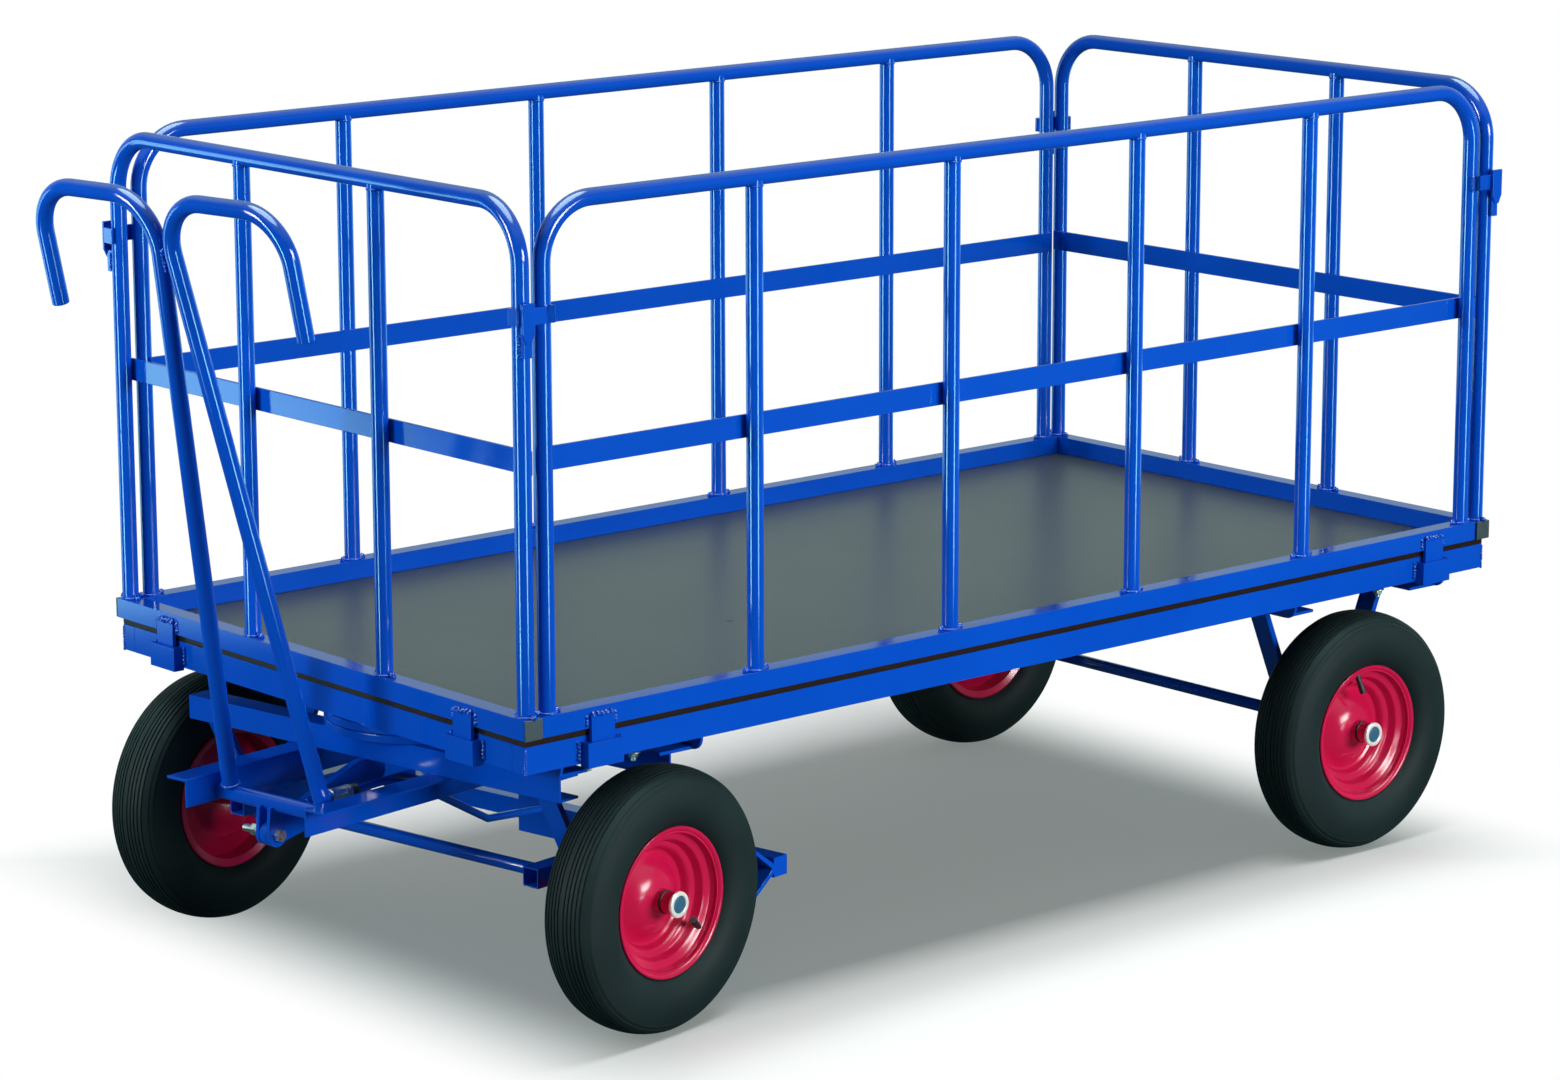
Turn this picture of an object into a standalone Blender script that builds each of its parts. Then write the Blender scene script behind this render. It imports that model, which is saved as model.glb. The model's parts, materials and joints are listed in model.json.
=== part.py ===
"""Four-wheel platform trailer with four lattice walls and a turntable drawbar.

Metres, +X towards the drawbar, +Y to the trailer's left, +Z up, wheels standing on Z = 0.
It stands as it was parked: turntable turned a little to the left, drawbar leaning upright.
"""

import math

import bmesh
import bpy
from mathutils import Matrix, Vector

# Driving dimensions: bed
BED_LENGTH = 2.0
BED_WIDTH = 1.0
RIM_HEIGHT = 0.040
RIM_WIDTH = 0.030
DECK_THICKNESS = 0.010
CROSS_DROP = 0.024
CROSS_PLATE = 0.005
CROSS_FLANGE = 0.065
CROSS_CORNER = 0.020
FRONT_CROSS_SPREAD = 0.130
REAR_CROSS_SPREAD = 0.180

# Driving dimensions: walls
WALL_HEIGHT = 0.756
SILL = 0.030
SILL_WALL = 0.0025
SILL_OVERHANG = 0.006
POST_DIAMETER = 0.025
HOOP_BEND = 0.085
SIDE_BAYS = 5
END_BAYS = 3
SIDE_POST_INSET = 0.022
MID_RAIL_HEIGHT = 0.034
MID_RAIL_THICKNESS = 0.005
MID_RAIL_LEVEL = 0.3855
PLUG_HEAD = 0.004
PLUG_STUB = 0.018
TAB_WIDTH = 0.042
TAB_THICKNESS = 0.005
TAB_INSET_SIDE = 0.130
TAB_INSET_END = 0.130
POCKET_PLATE = 0.005
POCKET_CHEEK = 0.010
LATCH_LEVEL = 0.536
LATCH_HEIGHT = 0.076
LATCH_PLATE = 0.005
STRAP_HEIGHT = 0.024
STRAP_THICKNESS = 0.004

# Driving dimensions: wheels and axles
TYRE_DIAMETER = 0.395
TYRE_WIDTH = 0.100
RIM_FLANGE_DIAMETER = 0.223
AXLE_DIAMETER = 0.020
HUB_DIAMETER = 0.034
HUB_LENGTH = 0.092
RIM_SEAT_DROP = 0.009
RIM_SHEET = 0.003
DISH_RISE = 0.012
DISH_FOOT = 0.014
DISH_SLOPE = 0.002
CAP_THICKNESS = 0.006
CAP_LIP = 0.001
CAP_HOLE = 0.004
WHEEL_CLEARANCE = 0.018
FRONT_OVERHANG = 0.200
REAR_OVERHANG = 0.257
LEG_WIDTH = 0.037
LEG_THICKNESS = 0.010
EYE_RADIUS = 0.022
REAR_LEG_FOOT = 0.050

# Driving dimensions: turntable, brake and drawbar
TURNTABLE_DIAMETER = 0.300
TURNTABLE_PLATE = 0.012
KINGPIN_DIAMETER = 0.020
BOLSTER_HEIGHT = 0.037
BOLSTER_WIDTH = 0.040
BOLSTER_SPREAD = 0.120
ARM_SPACING = 0.250
ARM_LEG = 0.042
ARM_PLATE = 0.004
ARM_REACH = 0.370
BRAKE_TUBE = 0.030
SHOE_DEPTH = 0.045
SHOE_HEIGHT = 0.076
SHOE_WIDTH = 0.050
BRAKE_TUBE_REACH = 0.100
BRAKE_ROD_RADIUS = 0.006
BRAKE_ROD_Y = 0.030
BRAKE_ROD_RISE = 0.046
BRAKE_ROD_LIFT = 0.012
BRAKE_ROD_DIP = 0.014
BRAKE_ROD_BACK = 0.100
BRAKE_ROD_KNEE = 0.060
BRAKE_ROD_TOP = 0.120
BRAKE_ROD_END = 0.030
SLEEVE_RADIUS = 0.010
SLEEVE_LENGTH = 0.040
SLEEVE_PLACE = 0.192
HINGE_REACH = 0.308
HINGE_DROP = 0.074
HINGE_EYE = 0.018
HINGE_BOLT = 0.012
TONGUE_THICKNESS = 0.014
TONGUE_Y = -0.012
LUG_THICKNESS = 0.006
DRAWBAR_TUBE = 0.025
DRAWBAR_LENGTH = 0.969
DRAWBAR_SET_BACK = 0.014
CROSS_TUBE_OFFSET = 0.044
HANDLE_REACH = 0.248
HANDLE_INNER_BEND = 0.075
HANDLE_OUTER_BEND = 0.075
HANDLE_GRIP = 0.106
STEER_ANGLE = math.radians(8.84)
DRAWBAR_LEAN = math.radians(12.6)

# Clearances between pieces that touch, slide or turn
GAP = 0.0003
SLIDE_GAP = 0.001
TURN_GAP = 0.0006
BRAKE_GAP = 0.002
EMBED = 0.001

# Facets of round pieces
ROD_SIDES = 16
TUBE_BEVEL = 3
BEND_STEPS = 6
TYRE_STEPS = 32
RIM_STEPS = 24
PLATE_SIDES = 32

# Heights and places worked out from the driving dimensions
TYRE_RADIUS = TYRE_DIAMETER / 2
AXLE_Z = TYRE_RADIUS * math.cos(math.pi / TYRE_STEPS)
CROSS_BOTTOM = TYRE_DIAMETER + WHEEL_CLEARANCE
RIM_BOTTOM = CROSS_BOTTOM + CROSS_DROP
RIM_TOP = RIM_BOTTOM + RIM_HEIGHT
DECK_BOTTOM = RIM_TOP + GAP
DECK_TOP = DECK_BOTTOM + DECK_THICKNESS
SILL_BOTTOM = DECK_TOP + GAP
SILL_TOP = SILL_BOTTOM + SILL
HALF_LENGTH = BED_LENGTH / 2
HALF_WIDTH = BED_WIDTH / 2
POST_RADIUS = POST_DIAMETER / 2
RAIL_Z = DECK_TOP + WALL_HEIGHT - POST_RADIUS
END_POST_X = HALF_LENGTH + SILL_OVERHANG - SILL / 2
SIDE_POST_Y = HALF_WIDTH + SILL_OVERHANG - SILL / 2
SIDE_SILL_END = HALF_LENGTH + SILL_OVERHANG - SILL - SLIDE_GAP
SIDE_POST_X = SIDE_SILL_END + SLIDE_GAP - SIDE_POST_INSET
LATCH_Z = DECK_TOP + LATCH_LEVEL
KINGPIN_X = HALF_LENGTH - FRONT_OVERHANG
REAR_AXLE_X = REAR_OVERHANG - HALF_LENGTH
WHEEL_Y = HALF_WIDTH - TYRE_WIDTH / 2 + 0.002
LEG_OUTER_Y = WHEEL_Y - TYRE_WIDTH / 2 - 0.042
LEG_Y = LEG_OUTER_Y - LEG_WIDTH / 2
REAR_LEG_Y = WHEEL_Y - TYRE_WIDTH / 2 - 0.0135 - LEG_WIDTH / 2
UPPER_PLATE_BOTTOM = CROSS_BOTTOM - GAP - TURNTABLE_PLATE
LOWER_PLATE_TOP = UPPER_PLATE_BOTTOM - SLIDE_GAP
LOWER_PLATE_BOTTOM = LOWER_PLATE_TOP - TURNTABLE_PLATE
BOLSTER_TOP = LOWER_PLATE_BOTTOM - GAP
BOLSTER_BOTTOM = BOLSTER_TOP - BOLSTER_HEIGHT
ARM_TOP = BOLSTER_BOTTOM - GAP
HINGE_Z = BOLSTER_BOTTOM - HINGE_DROP

BLUE = ("blue_enamel", (0.0, 0.045, 0.52), 0.25, 0.0)
RED = ("red_enamel", (0.55, 0.01, 0.05), 0.25, 0.0)
TYRE_BLACK = ("tyre_rubber", (0.012, 0.014, 0.015), 0.75, 0.0)
PLYWOOD = ("film_faced_ply", (0.11, 0.09, 0.085), 0.45, 0.0)
GREY_PLASTIC = ("grey_plastic", (0.05, 0.055, 0.06), 0.5, 0.0)
ZINC = ("zinc_steel", (0.62, 0.64, 0.62), 0.35, 1.0)


# Start from an empty scene, with one collection for the pieces
for leftover in list(bpy.data.objects):
    bpy.data.objects.remove(leftover)
TRAILER = bpy.data.collections.new("drawbar_platform_trailer")
bpy.context.scene.collection.children.link(TRAILER)


def material(finish):
    """The named Principled material, made once."""
    name, colour, roughness, metallic = finish
    made = bpy.data.materials.get(name)
    if made is None:
        made = bpy.data.materials.new(name)
        made.use_nodes = True
        shader = made.node_tree.nodes["Principled BSDF"]
        shader.inputs["Base Color"].default_value = (*colour, 1.0)
        shader.inputs["Roughness"].default_value = roughness
        shader.inputs["Metallic"].default_value = metallic
    return made


def empty(name, parent, location=(0, 0, 0), rotation=(0, 0, 0)):
    """A frame that carries the pieces of one assembly."""
    frame = bpy.data.objects.new(name, None)
    TRAILER.objects.link(frame)
    frame.parent = parent
    frame.location = location
    frame.rotation_euler = rotation
    return frame


def from_bmesh(name, form):
    mesh = bpy.data.meshes.new(name)
    form.to_mesh(mesh)
    form.free()
    made = bpy.data.objects.new(name, mesh)
    TRAILER.objects.link(made)
    return made


def evaluated_mesh(thing):
    """The mesh of an object with its modifiers or its curve bevel, with loose caps welded."""
    bpy.context.view_layer.update()
    graph = bpy.context.evaluated_depsgraph_get()
    mesh = bpy.data.meshes.new_from_object(thing.evaluated_get(graph))
    form = bmesh.new()
    form.from_mesh(mesh)
    bmesh.ops.remove_doubles(form, verts=form.verts, dist=0.00001)
    bmesh.ops.recalc_face_normals(form, faces=form.faces)
    form.to_mesh(mesh)
    form.free()
    return mesh


def curve_to_mesh(name, curve, matrix):
    """A curve object turned into a mesh object of the same name, moved by the matrix."""
    guide = bpy.data.objects.new(name + "_guide", curve)
    TRAILER.objects.link(guide)
    mesh = evaluated_mesh(guide)
    mesh.transform(matrix)
    bpy.data.objects.remove(guide)
    made = bpy.data.objects.new(name, mesh)
    TRAILER.objects.link(made)
    return made


def box(name, low, high):
    """A block between two corners."""
    form = bmesh.new()
    bmesh.ops.create_cube(form, size=1.0)
    for vertex in form.verts:
        for axis in range(3):
            vertex.co[axis] = low[axis] if vertex.co[axis] < 0 else high[axis]
    return from_bmesh(name, form)


def rod(name, start, end, radius, sides=ROD_SIDES):
    """A straight round bar between two points."""
    start, end = Vector(start), Vector(end)
    turn = Vector((0, 0, 1)).rotation_difference(end - start).to_matrix().to_4x4()
    place = Matrix.Translation((start + end) / 2) @ turn
    form = bmesh.new()
    bmesh.ops.create_cone(
        form, cap_ends=True, segments=sides, radius1=radius, radius2=radius,
        depth=(end - start).length, matrix=place,
    )
    return from_bmesh(name, form)


def bent_tube(name, points, radius):
    """A round tube that follows the points."""
    curve = bpy.data.curves.new(name, "CURVE")
    curve.dimensions = "3D"
    curve.bevel_depth = radius
    curve.bevel_resolution = TUBE_BEVEL
    curve.use_fill_caps = True
    spline = curve.splines.new("POLY")
    spline.points.add(len(points) - 1)
    for target, point in zip(spline.points, points):
        target.co = (*point, 1.0)
    return curve_to_mesh(name, curve, Matrix.Identity(4))


# Matrices that stand a flat outline up in the XZ or the YZ plane
IN_XZ = Matrix(((1, 0, 0, 0), (0, 0, -1, 0), (0, 1, 0, 0), (0, 0, 0, 1)))
IN_YZ = Matrix(((0, 0, 1, 0), (1, 0, 0, 0), (0, 1, 0, 0), (0, 0, 0, 1)))


def plate(name, outlines, thickness, plane, middle):
    """Flat stock cut to an outline, with any further outlines as holes."""
    curve = bpy.data.curves.new(name, "CURVE")
    curve.dimensions = "2D"
    curve.fill_mode = "BOTH"
    curve.extrude = thickness / 2
    for outline in outlines:
        spline = curve.splines.new("POLY")
        spline.points.add(len(outline) - 1)
        spline.use_cyclic_u = True
        for target, point in zip(spline.points, outline):
            target.co = (*point, 0.0, 1.0)
    return curve_to_mesh(name, curve, Matrix.Translation(middle) @ plane)


def arc(centre, radius, start, end, steps=BEND_STEPS):
    """Points on an arc, with angles in radians from the first axis."""
    angles = [start + (end - start) * step / steps for step in range(steps + 1)]
    return [(centre[0] + radius * math.cos(a), centre[1] + radius * math.sin(a)) for a in angles]


def circle(centre, radius, sides=ROD_SIDES):
    return arc(centre, radius, 0, 2 * math.pi, sides)[:-1]


def turned(name, profile, steps):
    """A closed (radius, along) profile turned round the Y axis, with a flat facet at the bottom."""
    mesh = bpy.data.meshes.new(name)
    form = bmesh.new()
    ring = [form.verts.new((radius, 0, along)) for radius, along in profile]
    for first, second in zip(ring, ring[1:] + ring[:1]):
        form.edges.new((first, second))
    form.to_mesh(mesh)
    form.free()
    made = bpy.data.objects.new(name, mesh)
    TRAILER.objects.link(made)
    screw = made.modifiers.new("turn", "SCREW")
    screw.axis = "Z"
    screw.steps = steps
    screw.render_steps = steps
    screw.use_merge_vertices = True
    screw.merge_threshold = 0.00001
    made.data = evaluated_mesh(made)
    made.modifiers.clear()
    half_step = Matrix.Rotation(math.pi / steps, 4, "Z")
    made.data.transform(Matrix.Rotation(-math.pi / 2, 4, "X") @ half_step)
    return made


def combine(body, tools, operation):
    """Join the tools to a body, or cut them from it, and remove them."""
    for tool in tools:
        change = body.modifiers.new(operation.lower(), "BOOLEAN")
        change.operation = operation
        change.solver = "EXACT"
        change.object = tool
    body.data = evaluated_mesh(body)
    body.modifiers.clear()
    for tool in tools:
        bpy.data.objects.remove(tool)
    return body


def join(body, *tools):
    return combine(body, tools, "UNION")


def cut(body, *tools):
    return combine(body, tools, "DIFFERENCE")


def finish(piece, parent, look, location=(0, 0, 0)):
    """Give a piece its material, its smooth shading and its place in an assembly."""
    piece.data.materials.clear()
    piece.data.materials.append(material(look))
    piece.data.shade_smooth()
    piece.data.set_sharp_from_angle(angle=math.radians(35))
    piece.parent = parent
    piece.location = location
    return piece


def square_tube(name, low, high, axis, wall):
    """A hollow square bar, open at both ends of one axis."""
    inner_low = [low[i] + wall for i in range(3)]
    inner_high = [high[i] - wall for i in range(3)]
    inner_low[axis] = low[axis] - wall
    inner_high[axis] = high[axis] + wall
    return cut(box(name, low, high), box(name + "_bore", inner_low, inner_high))


ROOT = empty("trailer", None)
BED = empty("bed", ROOT)


# Bed: plywood deck on a frame of rectangular bars
def make_deck():
    deck = box(
        "deck", (-HALF_LENGTH, -HALF_WIDTH, DECK_BOTTOM), (HALF_LENGTH, HALF_WIDTH, DECK_TOP)
    )
    finish(deck, BED, PLYWOOD)


def pocket(name, along, outward, side):
    """An upright slot for a wall tab: a plate held off the rim's outer face by two cheeks.

    along is the axis number of the rim, outward is +1 or -1, side is the place along the rim.
    """
    slot = TAB_WIDTH / 2 + SLIDE_GAP
    depth = SILL_OVERHANG + TAB_THICKNESS + SLIDE_GAP
    face = HALF_WIDTH if along == 0 else HALF_LENGTH
    low_z = RIM_BOTTOM - 0.004
    high_z = RIM_TOP - 0.008

    def block(suffix, start, end, near, far):
        across = sorted((outward * (face + near), outward * (face + far)))
        low = [0, 0, low_z]
        high = [0, 0, high_z]
        low[along], high[along] = side + start, side + end
        low[1 - along], high[1 - along] = across
        return box(name + suffix, low, high)

    outer = slot + POCKET_CHEEK
    cheeks = [
        block("_cheek", -outer, -slot, -EMBED, depth + EMBED),
        block("_cheek", slot, outer, -EMBED, depth + EMBED),
    ]
    return cheeks + [block("_plate", -outer, outer, depth, depth + POCKET_PLATE)]


def make_rims():
    tab_x = HALF_LENGTH - TAB_INSET_SIDE
    tab_y = HALF_WIDTH - TAB_INSET_END
    for name, side in (("left", 1), ("right", -1)):
        near, far = sorted((side * (HALF_WIDTH - RIM_WIDTH), side * HALF_WIDTH))
        rim = box(
            f"side_rim_{name}", (-HALF_LENGTH, near, RIM_BOTTOM), (HALF_LENGTH, far, RIM_TOP)
        )
        pockets = pocket(rim.name, 0, side, tab_x) + pocket(rim.name, 0, side, -tab_x)
        finish(join(rim, *pockets), BED, BLUE)
    for name, side in (("front", 1), ("rear", -1)):
        near, far = sorted((side * (HALF_LENGTH - RIM_WIDTH), side * HALF_LENGTH))
        end_y = HALF_WIDTH - RIM_WIDTH - GAP
        rim = box(f"end_rim_{name}", (near, -end_y, RIM_BOTTOM), (far, end_y, RIM_TOP))
        pockets = pocket(rim.name, 1, side, tab_y) + pocket(rim.name, 1, side, -tab_y)
        finish(join(rim, *pockets), BED, BLUE)


def make_cross_member(name, web_x, inward):
    """A folded cross member: an upright web with round lower corners and two flanges."""
    half = HALF_WIDTH - RIM_WIDTH - GAP
    top = RIM_TOP
    under_rim = RIM_BOTTOM - GAP
    corner = min(CROSS_CORNER, 0.9 * (under_rim - CROSS_BOTTOM))
    end_y = HALF_WIDTH - 0.010
    corner_y = end_y - corner
    corner_z = CROSS_BOTTOM + corner
    outline = [(-half, top), (-half, under_rim), (-end_y, under_rim)]
    outline += arc((-corner_y, corner_z), corner, math.pi, 1.5 * math.pi)
    outline += arc((corner_y, corner_z), corner, 1.5 * math.pi, 2 * math.pi)
    outline += [(end_y, under_rim), (half, under_rim), (half, top)]
    middle = (web_x - inward * CROSS_PLATE / 2, 0, 0)
    web = plate(name, [outline], CROSS_PLATE, IN_YZ, middle)
    start, end = sorted((web_x - inward * EMBED, web_x + inward * (CROSS_FLANGE - CROSS_PLATE)))
    upper = box(name + "_top", (start, -half, top - CROSS_PLATE), (end, half, top))
    lower = box(
        name + "_foot", (start, -corner_y, CROSS_BOTTOM), (end, corner_y, CROSS_BOTTOM + CROSS_PLATE)
    )
    finish(join(web, upper, lower), BED, BLUE)


def make_cross_members():
    for name, centre, spread in (
        ("front", KINGPIN_X, FRONT_CROSS_SPREAD), ("rear", REAR_AXLE_X, REAR_CROSS_SPREAD)
    ):
        make_cross_member(f"cross_member_{name}_1", centre + spread - CROSS_PLATE, -1)
        make_cross_member(f"cross_member_{name}_2", centre - spread + CROSS_PLATE, 1)


# Walls: a square sill with tabs, a hoop with uprights welded in, and a flat middle rail
def hoop_points(half_span, low_z):
    """Centre line of a wall's bent hoop in its own plane: up, over and down again."""
    bend_z = RAIL_Z - HOOP_BEND
    bend_u = half_span - HOOP_BEND
    points = [(half_span, low_z)]
    points += arc((bend_u, bend_z), HOOP_BEND, 0, math.pi / 2)
    points += arc((-bend_u, bend_z), HOOP_BEND, math.pi / 2, math.pi)
    return points + [(-half_span, low_z)]


def make_sill(name, parent, along, outward, half, tab_place):
    """A wall's bottom tube, with two tabs on its outer face that drop into the rim's pockets."""
    face = (HALF_WIDTH if along == 0 else HALF_LENGTH) + SILL_OVERHANG
    across = sorted((outward * (face - SILL), outward * face))
    low = [-half, -half, SILL_BOTTOM]
    high = [half, half, SILL_TOP]
    low[1 - along], high[1 - along] = across
    sill = square_tube(name, low, high, along, SILL_WALL)
    tabs = []
    for place in (tab_place, -tab_place):
        low = [place - TAB_WIDTH / 2, place - TAB_WIDTH / 2, RIM_BOTTOM + 0.006]
        high = [place + TAB_WIDTH / 2, place + TAB_WIDTH / 2, SILL_BOTTOM + SILL * 0.6]
        reach = sorted((outward * (face - EMBED), outward * (face + TAB_THICKNESS)))
        low[1 - along], high[1 - along] = reach
        tabs.append(box(name + "_tab", low, high))
    finish(join(sill, *tabs), parent, BLUE)


def make_mid_rail(name, parent, along, inner, half):
    """The flat bar behind a wall's uprights; inner is the face towards the posts."""
    low_z = DECK_TOP + MID_RAIL_LEVEL - MID_RAIL_HEIGHT / 2
    across = sorted((inner, inner - math.copysign(MID_RAIL_THICKNESS, inner)))
    low = [-half, -half, low_z]
    high = [half, half, low_z + MID_RAIL_HEIGHT]
    low[1 - along], high[1 - along] = across
    finish(box(name, low, high), parent, BLUE)


STRAP_Y = SIDE_POST_Y + POST_RADIUS + 0.0015
STRAP_Z = LATCH_Z + LATCH_HEIGHT * 0.58


def strap(name, outward, end):
    """The strap on a side wall's end post that drops behind the hook of the end wall.

    It runs past the outer side of the end wall's post and turns in across its front.
    """
    front = END_POST_X + POST_RADIUS + 0.0015
    root = SIDE_POST_X - POST_RADIUS * 0.8
    inside = SIDE_POST_Y + POST_RADIUS / 2
    outside = STRAP_Y + STRAP_THICKNESS

    def block(suffix, start, stop, near, far):
        x = sorted((end * start, end * stop))
        y = sorted((outward * near, outward * far))
        return box(name + suffix, (x[0], y[0], STRAP_Z), (x[1], y[1], STRAP_Z + STRAP_HEIGHT))

    return [
        block("_root", root, SIDE_POST_X + POST_RADIUS / 2, inside, outside),
        block("_run", root + EMBED, front + STRAP_THICKNESS, STRAP_Y, outside),
        block("_turn", front, front + STRAP_THICKNESS, SIDE_POST_Y - POST_RADIUS / 2, outside),
    ]


def hook(name, outward, end):
    """The hook on an end wall's post: an upright plate held off the post by its welded tail."""
    near = STRAP_Y + STRAP_THICKNESS + SLIDE_GAP
    far = near + LATCH_PLATE
    neck = LATCH_Z + LATCH_HEIGHT * 0.46
    top = LATCH_Z + LATCH_HEIGHT
    outline = [
        (0.004, neck - 0.014), (0.015, neck), (0.015, top - 0.006), (0.010, top), (-0.007, top),
        (-0.007, neck), (-0.004, neck - 0.014),
    ]
    outline = [(end * (END_POST_X + x), z) for x, z in outline]
    fin = plate(name, [outline], LATCH_PLATE, IN_XZ, (0, outward * (near + far) / 2, 0))
    x = sorted((end * (END_POST_X - 0.004), end * (END_POST_X + 0.010)))
    y = sorted((outward * (SIDE_POST_Y + POST_RADIUS / 4), outward * (near + EMBED)))
    tail = box(name + "_tail", (x[0], y[0], LATCH_Z), (x[1], y[1], neck - 0.002))
    return [fin, tail]


def make_wall_frame(name, parent, along, across, half, bays, latches):
    """A wall's hoop with its uprights and the latch pieces welded in."""

    def place(u, z):
        return (u, across, z) if along == 0 else (across, u, z)

    low_z = SILL_TOP + GAP
    hoop = bent_tube(name, [place(u, z) for u, z in hoop_points(half, low_z)], POST_RADIUS)
    uprights = []
    for number in range(1, bays):
        u = half - 2 * half * number / bays
        uprights.append(rod(name + "_upright", place(u, low_z), place(u, RAIL_Z), POST_RADIUS, 10))
    finish(join(hoop, *uprights, *latches), parent, BLUE)


def make_side_walls():
    for name, outward in (("left", 1), ("right", -1)):
        frame = empty(f"{name}_wall", BED)
        post_y = outward * SIDE_POST_Y
        inner = outward * (SIDE_POST_Y - POST_RADIUS - GAP)
        tab_x = HALF_LENGTH - TAB_INSET_SIDE
        latches = strap(name, outward, 1) + strap(name, outward, -1)
        make_wall_frame(
            f"{name}_wall_frame", frame, 0, post_y, SIDE_POST_X, SIDE_BAYS, latches
        )
        make_sill(f"{name}_wall_sill", frame, 0, outward, SIDE_SILL_END, tab_x)
        make_mid_rail(f"{name}_wall_mid_rail", frame, 0, inner, SIDE_POST_X)


def make_plug(name, parent, end, outward):
    """A plastic plug in the end of an end wall's sill: a square head on a hollow stub."""
    tip = HALF_WIDTH + SILL_OVERHANG
    outer_x = HALF_LENGTH + SILL_OVERHANG
    bore = SILL_WALL + GAP
    x = sorted((end * (outer_x - SILL), end * outer_x))
    y = sorted((outward * (tip + GAP), outward * (tip + PLUG_HEAD)))
    head = box(name, (x[0], y[0], SILL_BOTTOM), (x[1], y[1], SILL_TOP))
    y = sorted((outward * (tip - PLUG_STUB), outward * (tip + GAP + EMBED)))
    stub = box(
        name + "_stub", (x[0] + bore, y[0], SILL_BOTTOM + bore), (x[1] - bore, y[1], SILL_TOP - bore)
    )
    finish(join(head, stub), parent, GREY_PLASTIC)


def make_end_walls():
    for name, end in (("front", 1), ("rear", -1)):
        post_x = end * END_POST_X
        inner = end * (END_POST_X - POST_RADIUS - GAP)
        tab_y = HALF_WIDTH - TAB_INSET_END
        hooks = hook(name + "_hook", 1, end) + hook(name + "_hook", -1, end)
        make_wall_frame(f"{name}_wall_frame", BED, 1, post_x, SIDE_POST_Y, END_BAYS, hooks)
        make_sill(f"{name}_wall_sill", BED, 1, end, HALF_WIDTH + SILL_OVERHANG, tab_y)
        make_mid_rail(f"{name}_wall_mid_rail", BED, 1, inner, SIDE_POST_Y)
        make_plug(f"{name}_plug_left", BED, end, 1)
        make_plug(f"{name}_plug_right", BED, end, -1)


# Axles: a round bar carried by two V brackets of flat bar
def make_bracket(name, parent, top_z, spread, foot, y):
    """Two slanting legs on a bar with a hole for the axle; foot is half the spread at the axle."""
    rise = top_z - AXLE_Z
    half = LEG_THICKNESS / 2 / math.cos(math.atan2(spread - foot, rise))

    def leg(z):
        return foot + (spread - foot) * z / rise

    right = [
        (foot * 0.7, -EYE_RADIUS), (foot + half, -EYE_RADIUS * 0.4), (leg(0) + half, 0),
        (spread + half, rise), (spread - half, rise), (leg(EYE_RADIUS) - half, EYE_RADIUS),
    ]
    outline = right + [(-x, z) for x, z in reversed(right)]
    bore = circle((0, 0), AXLE_DIAMETER / 2 + GAP)
    bracket = plate(name, [outline, bore], LEG_WIDTH, IN_XZ, (0, 0, 0))
    finish(bracket, parent, BLUE, (0, y, AXLE_Z))


def make_axle_set(name, parent, top_z, spread, foot, leg_y):
    half = WHEEL_Y + HUB_LENGTH / 2
    axle = rod(f"{name}_axle", (0, -half, AXLE_Z), (0, half, AXLE_Z), AXLE_DIAMETER / 2)
    finish(axle, parent, BLUE)
    make_bracket(f"{name}_bracket_left", parent, top_z, spread, foot, leg_y)
    make_bracket(f"{name}_bracket_right", parent, top_z, spread, foot, -leg_y)


# Wheels: one-piece tyre, pressed rim with a hub tube, and an end cap
def tyre_profile():
    """Half a tyre section from the crown round to the bead, then mirrored; outer side first."""
    seat = RIM_FLANGE_DIAMETER / 2 - RIM_SEAT_DROP
    flange = RIM_FLANGE_DIAMETER / 2 + TURN_GAP
    bead = TYRE_WIDTH * 0.34
    belly = TYRE_WIDTH / 2
    height = TYRE_RADIUS - flange
    half = [
        (TYRE_RADIUS, belly * 0.30), (TYRE_RADIUS - height * 0.09, belly * 0.70),
        (TYRE_RADIUS - height * 0.28, belly * 0.94), (TYRE_RADIUS - height * 0.52, belly),
        (flange + height * 0.16, belly * 0.93), (flange, bead), (seat, bead),
    ]
    upper = [(radius, along) for radius, along in reversed(half)]
    lower = [(radius, -along) for radius, along in half]
    return upper + lower


def rim_profile():
    """Pressed rim with its stepped dish and hub tube, all one closed section, outer side first."""
    lip = RIM_FLANGE_DIAMETER / 2
    seat = (lip - RIM_SEAT_DROP) * math.cos(math.pi / TYRE_STEPS) - GAP
    bead = TYRE_WIDTH * 0.34 + GAP
    sheet = RIM_SHEET
    hub = HUB_DIAMETER / 2
    end = HUB_LENGTH / 2
    crown = hub + DISH_FOOT
    bore = AXLE_DIAMETER / 2 + TURN_GAP
    barrel = [
        (lip, bead + sheet), (lip, bead), (seat, bead), (seat, -bead), (lip, -bead),
        (lip, -bead - sheet), (seat - sheet, -bead),
    ]
    back = [(seat - sheet, -2 * DISH_SLOPE), (lip * 0.74, -DISH_RISE), (lip * 0.62, -DISH_SLOPE)]
    back += [(crown, DISH_RISE), (hub, DISH_RISE), (hub, -end), (bore, -end)]
    front = [(bore, end), (hub, end), (hub, DISH_RISE + sheet), (crown, DISH_RISE + sheet)]
    front += [(lip * 0.62, DISH_SLOPE / 2 + sheet), (lip * 0.74, sheet - DISH_RISE)]
    front += [(seat - sheet, sheet - DISH_SLOPE), (seat - sheet, bead - sheet)]
    return barrel + back + front


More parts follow.
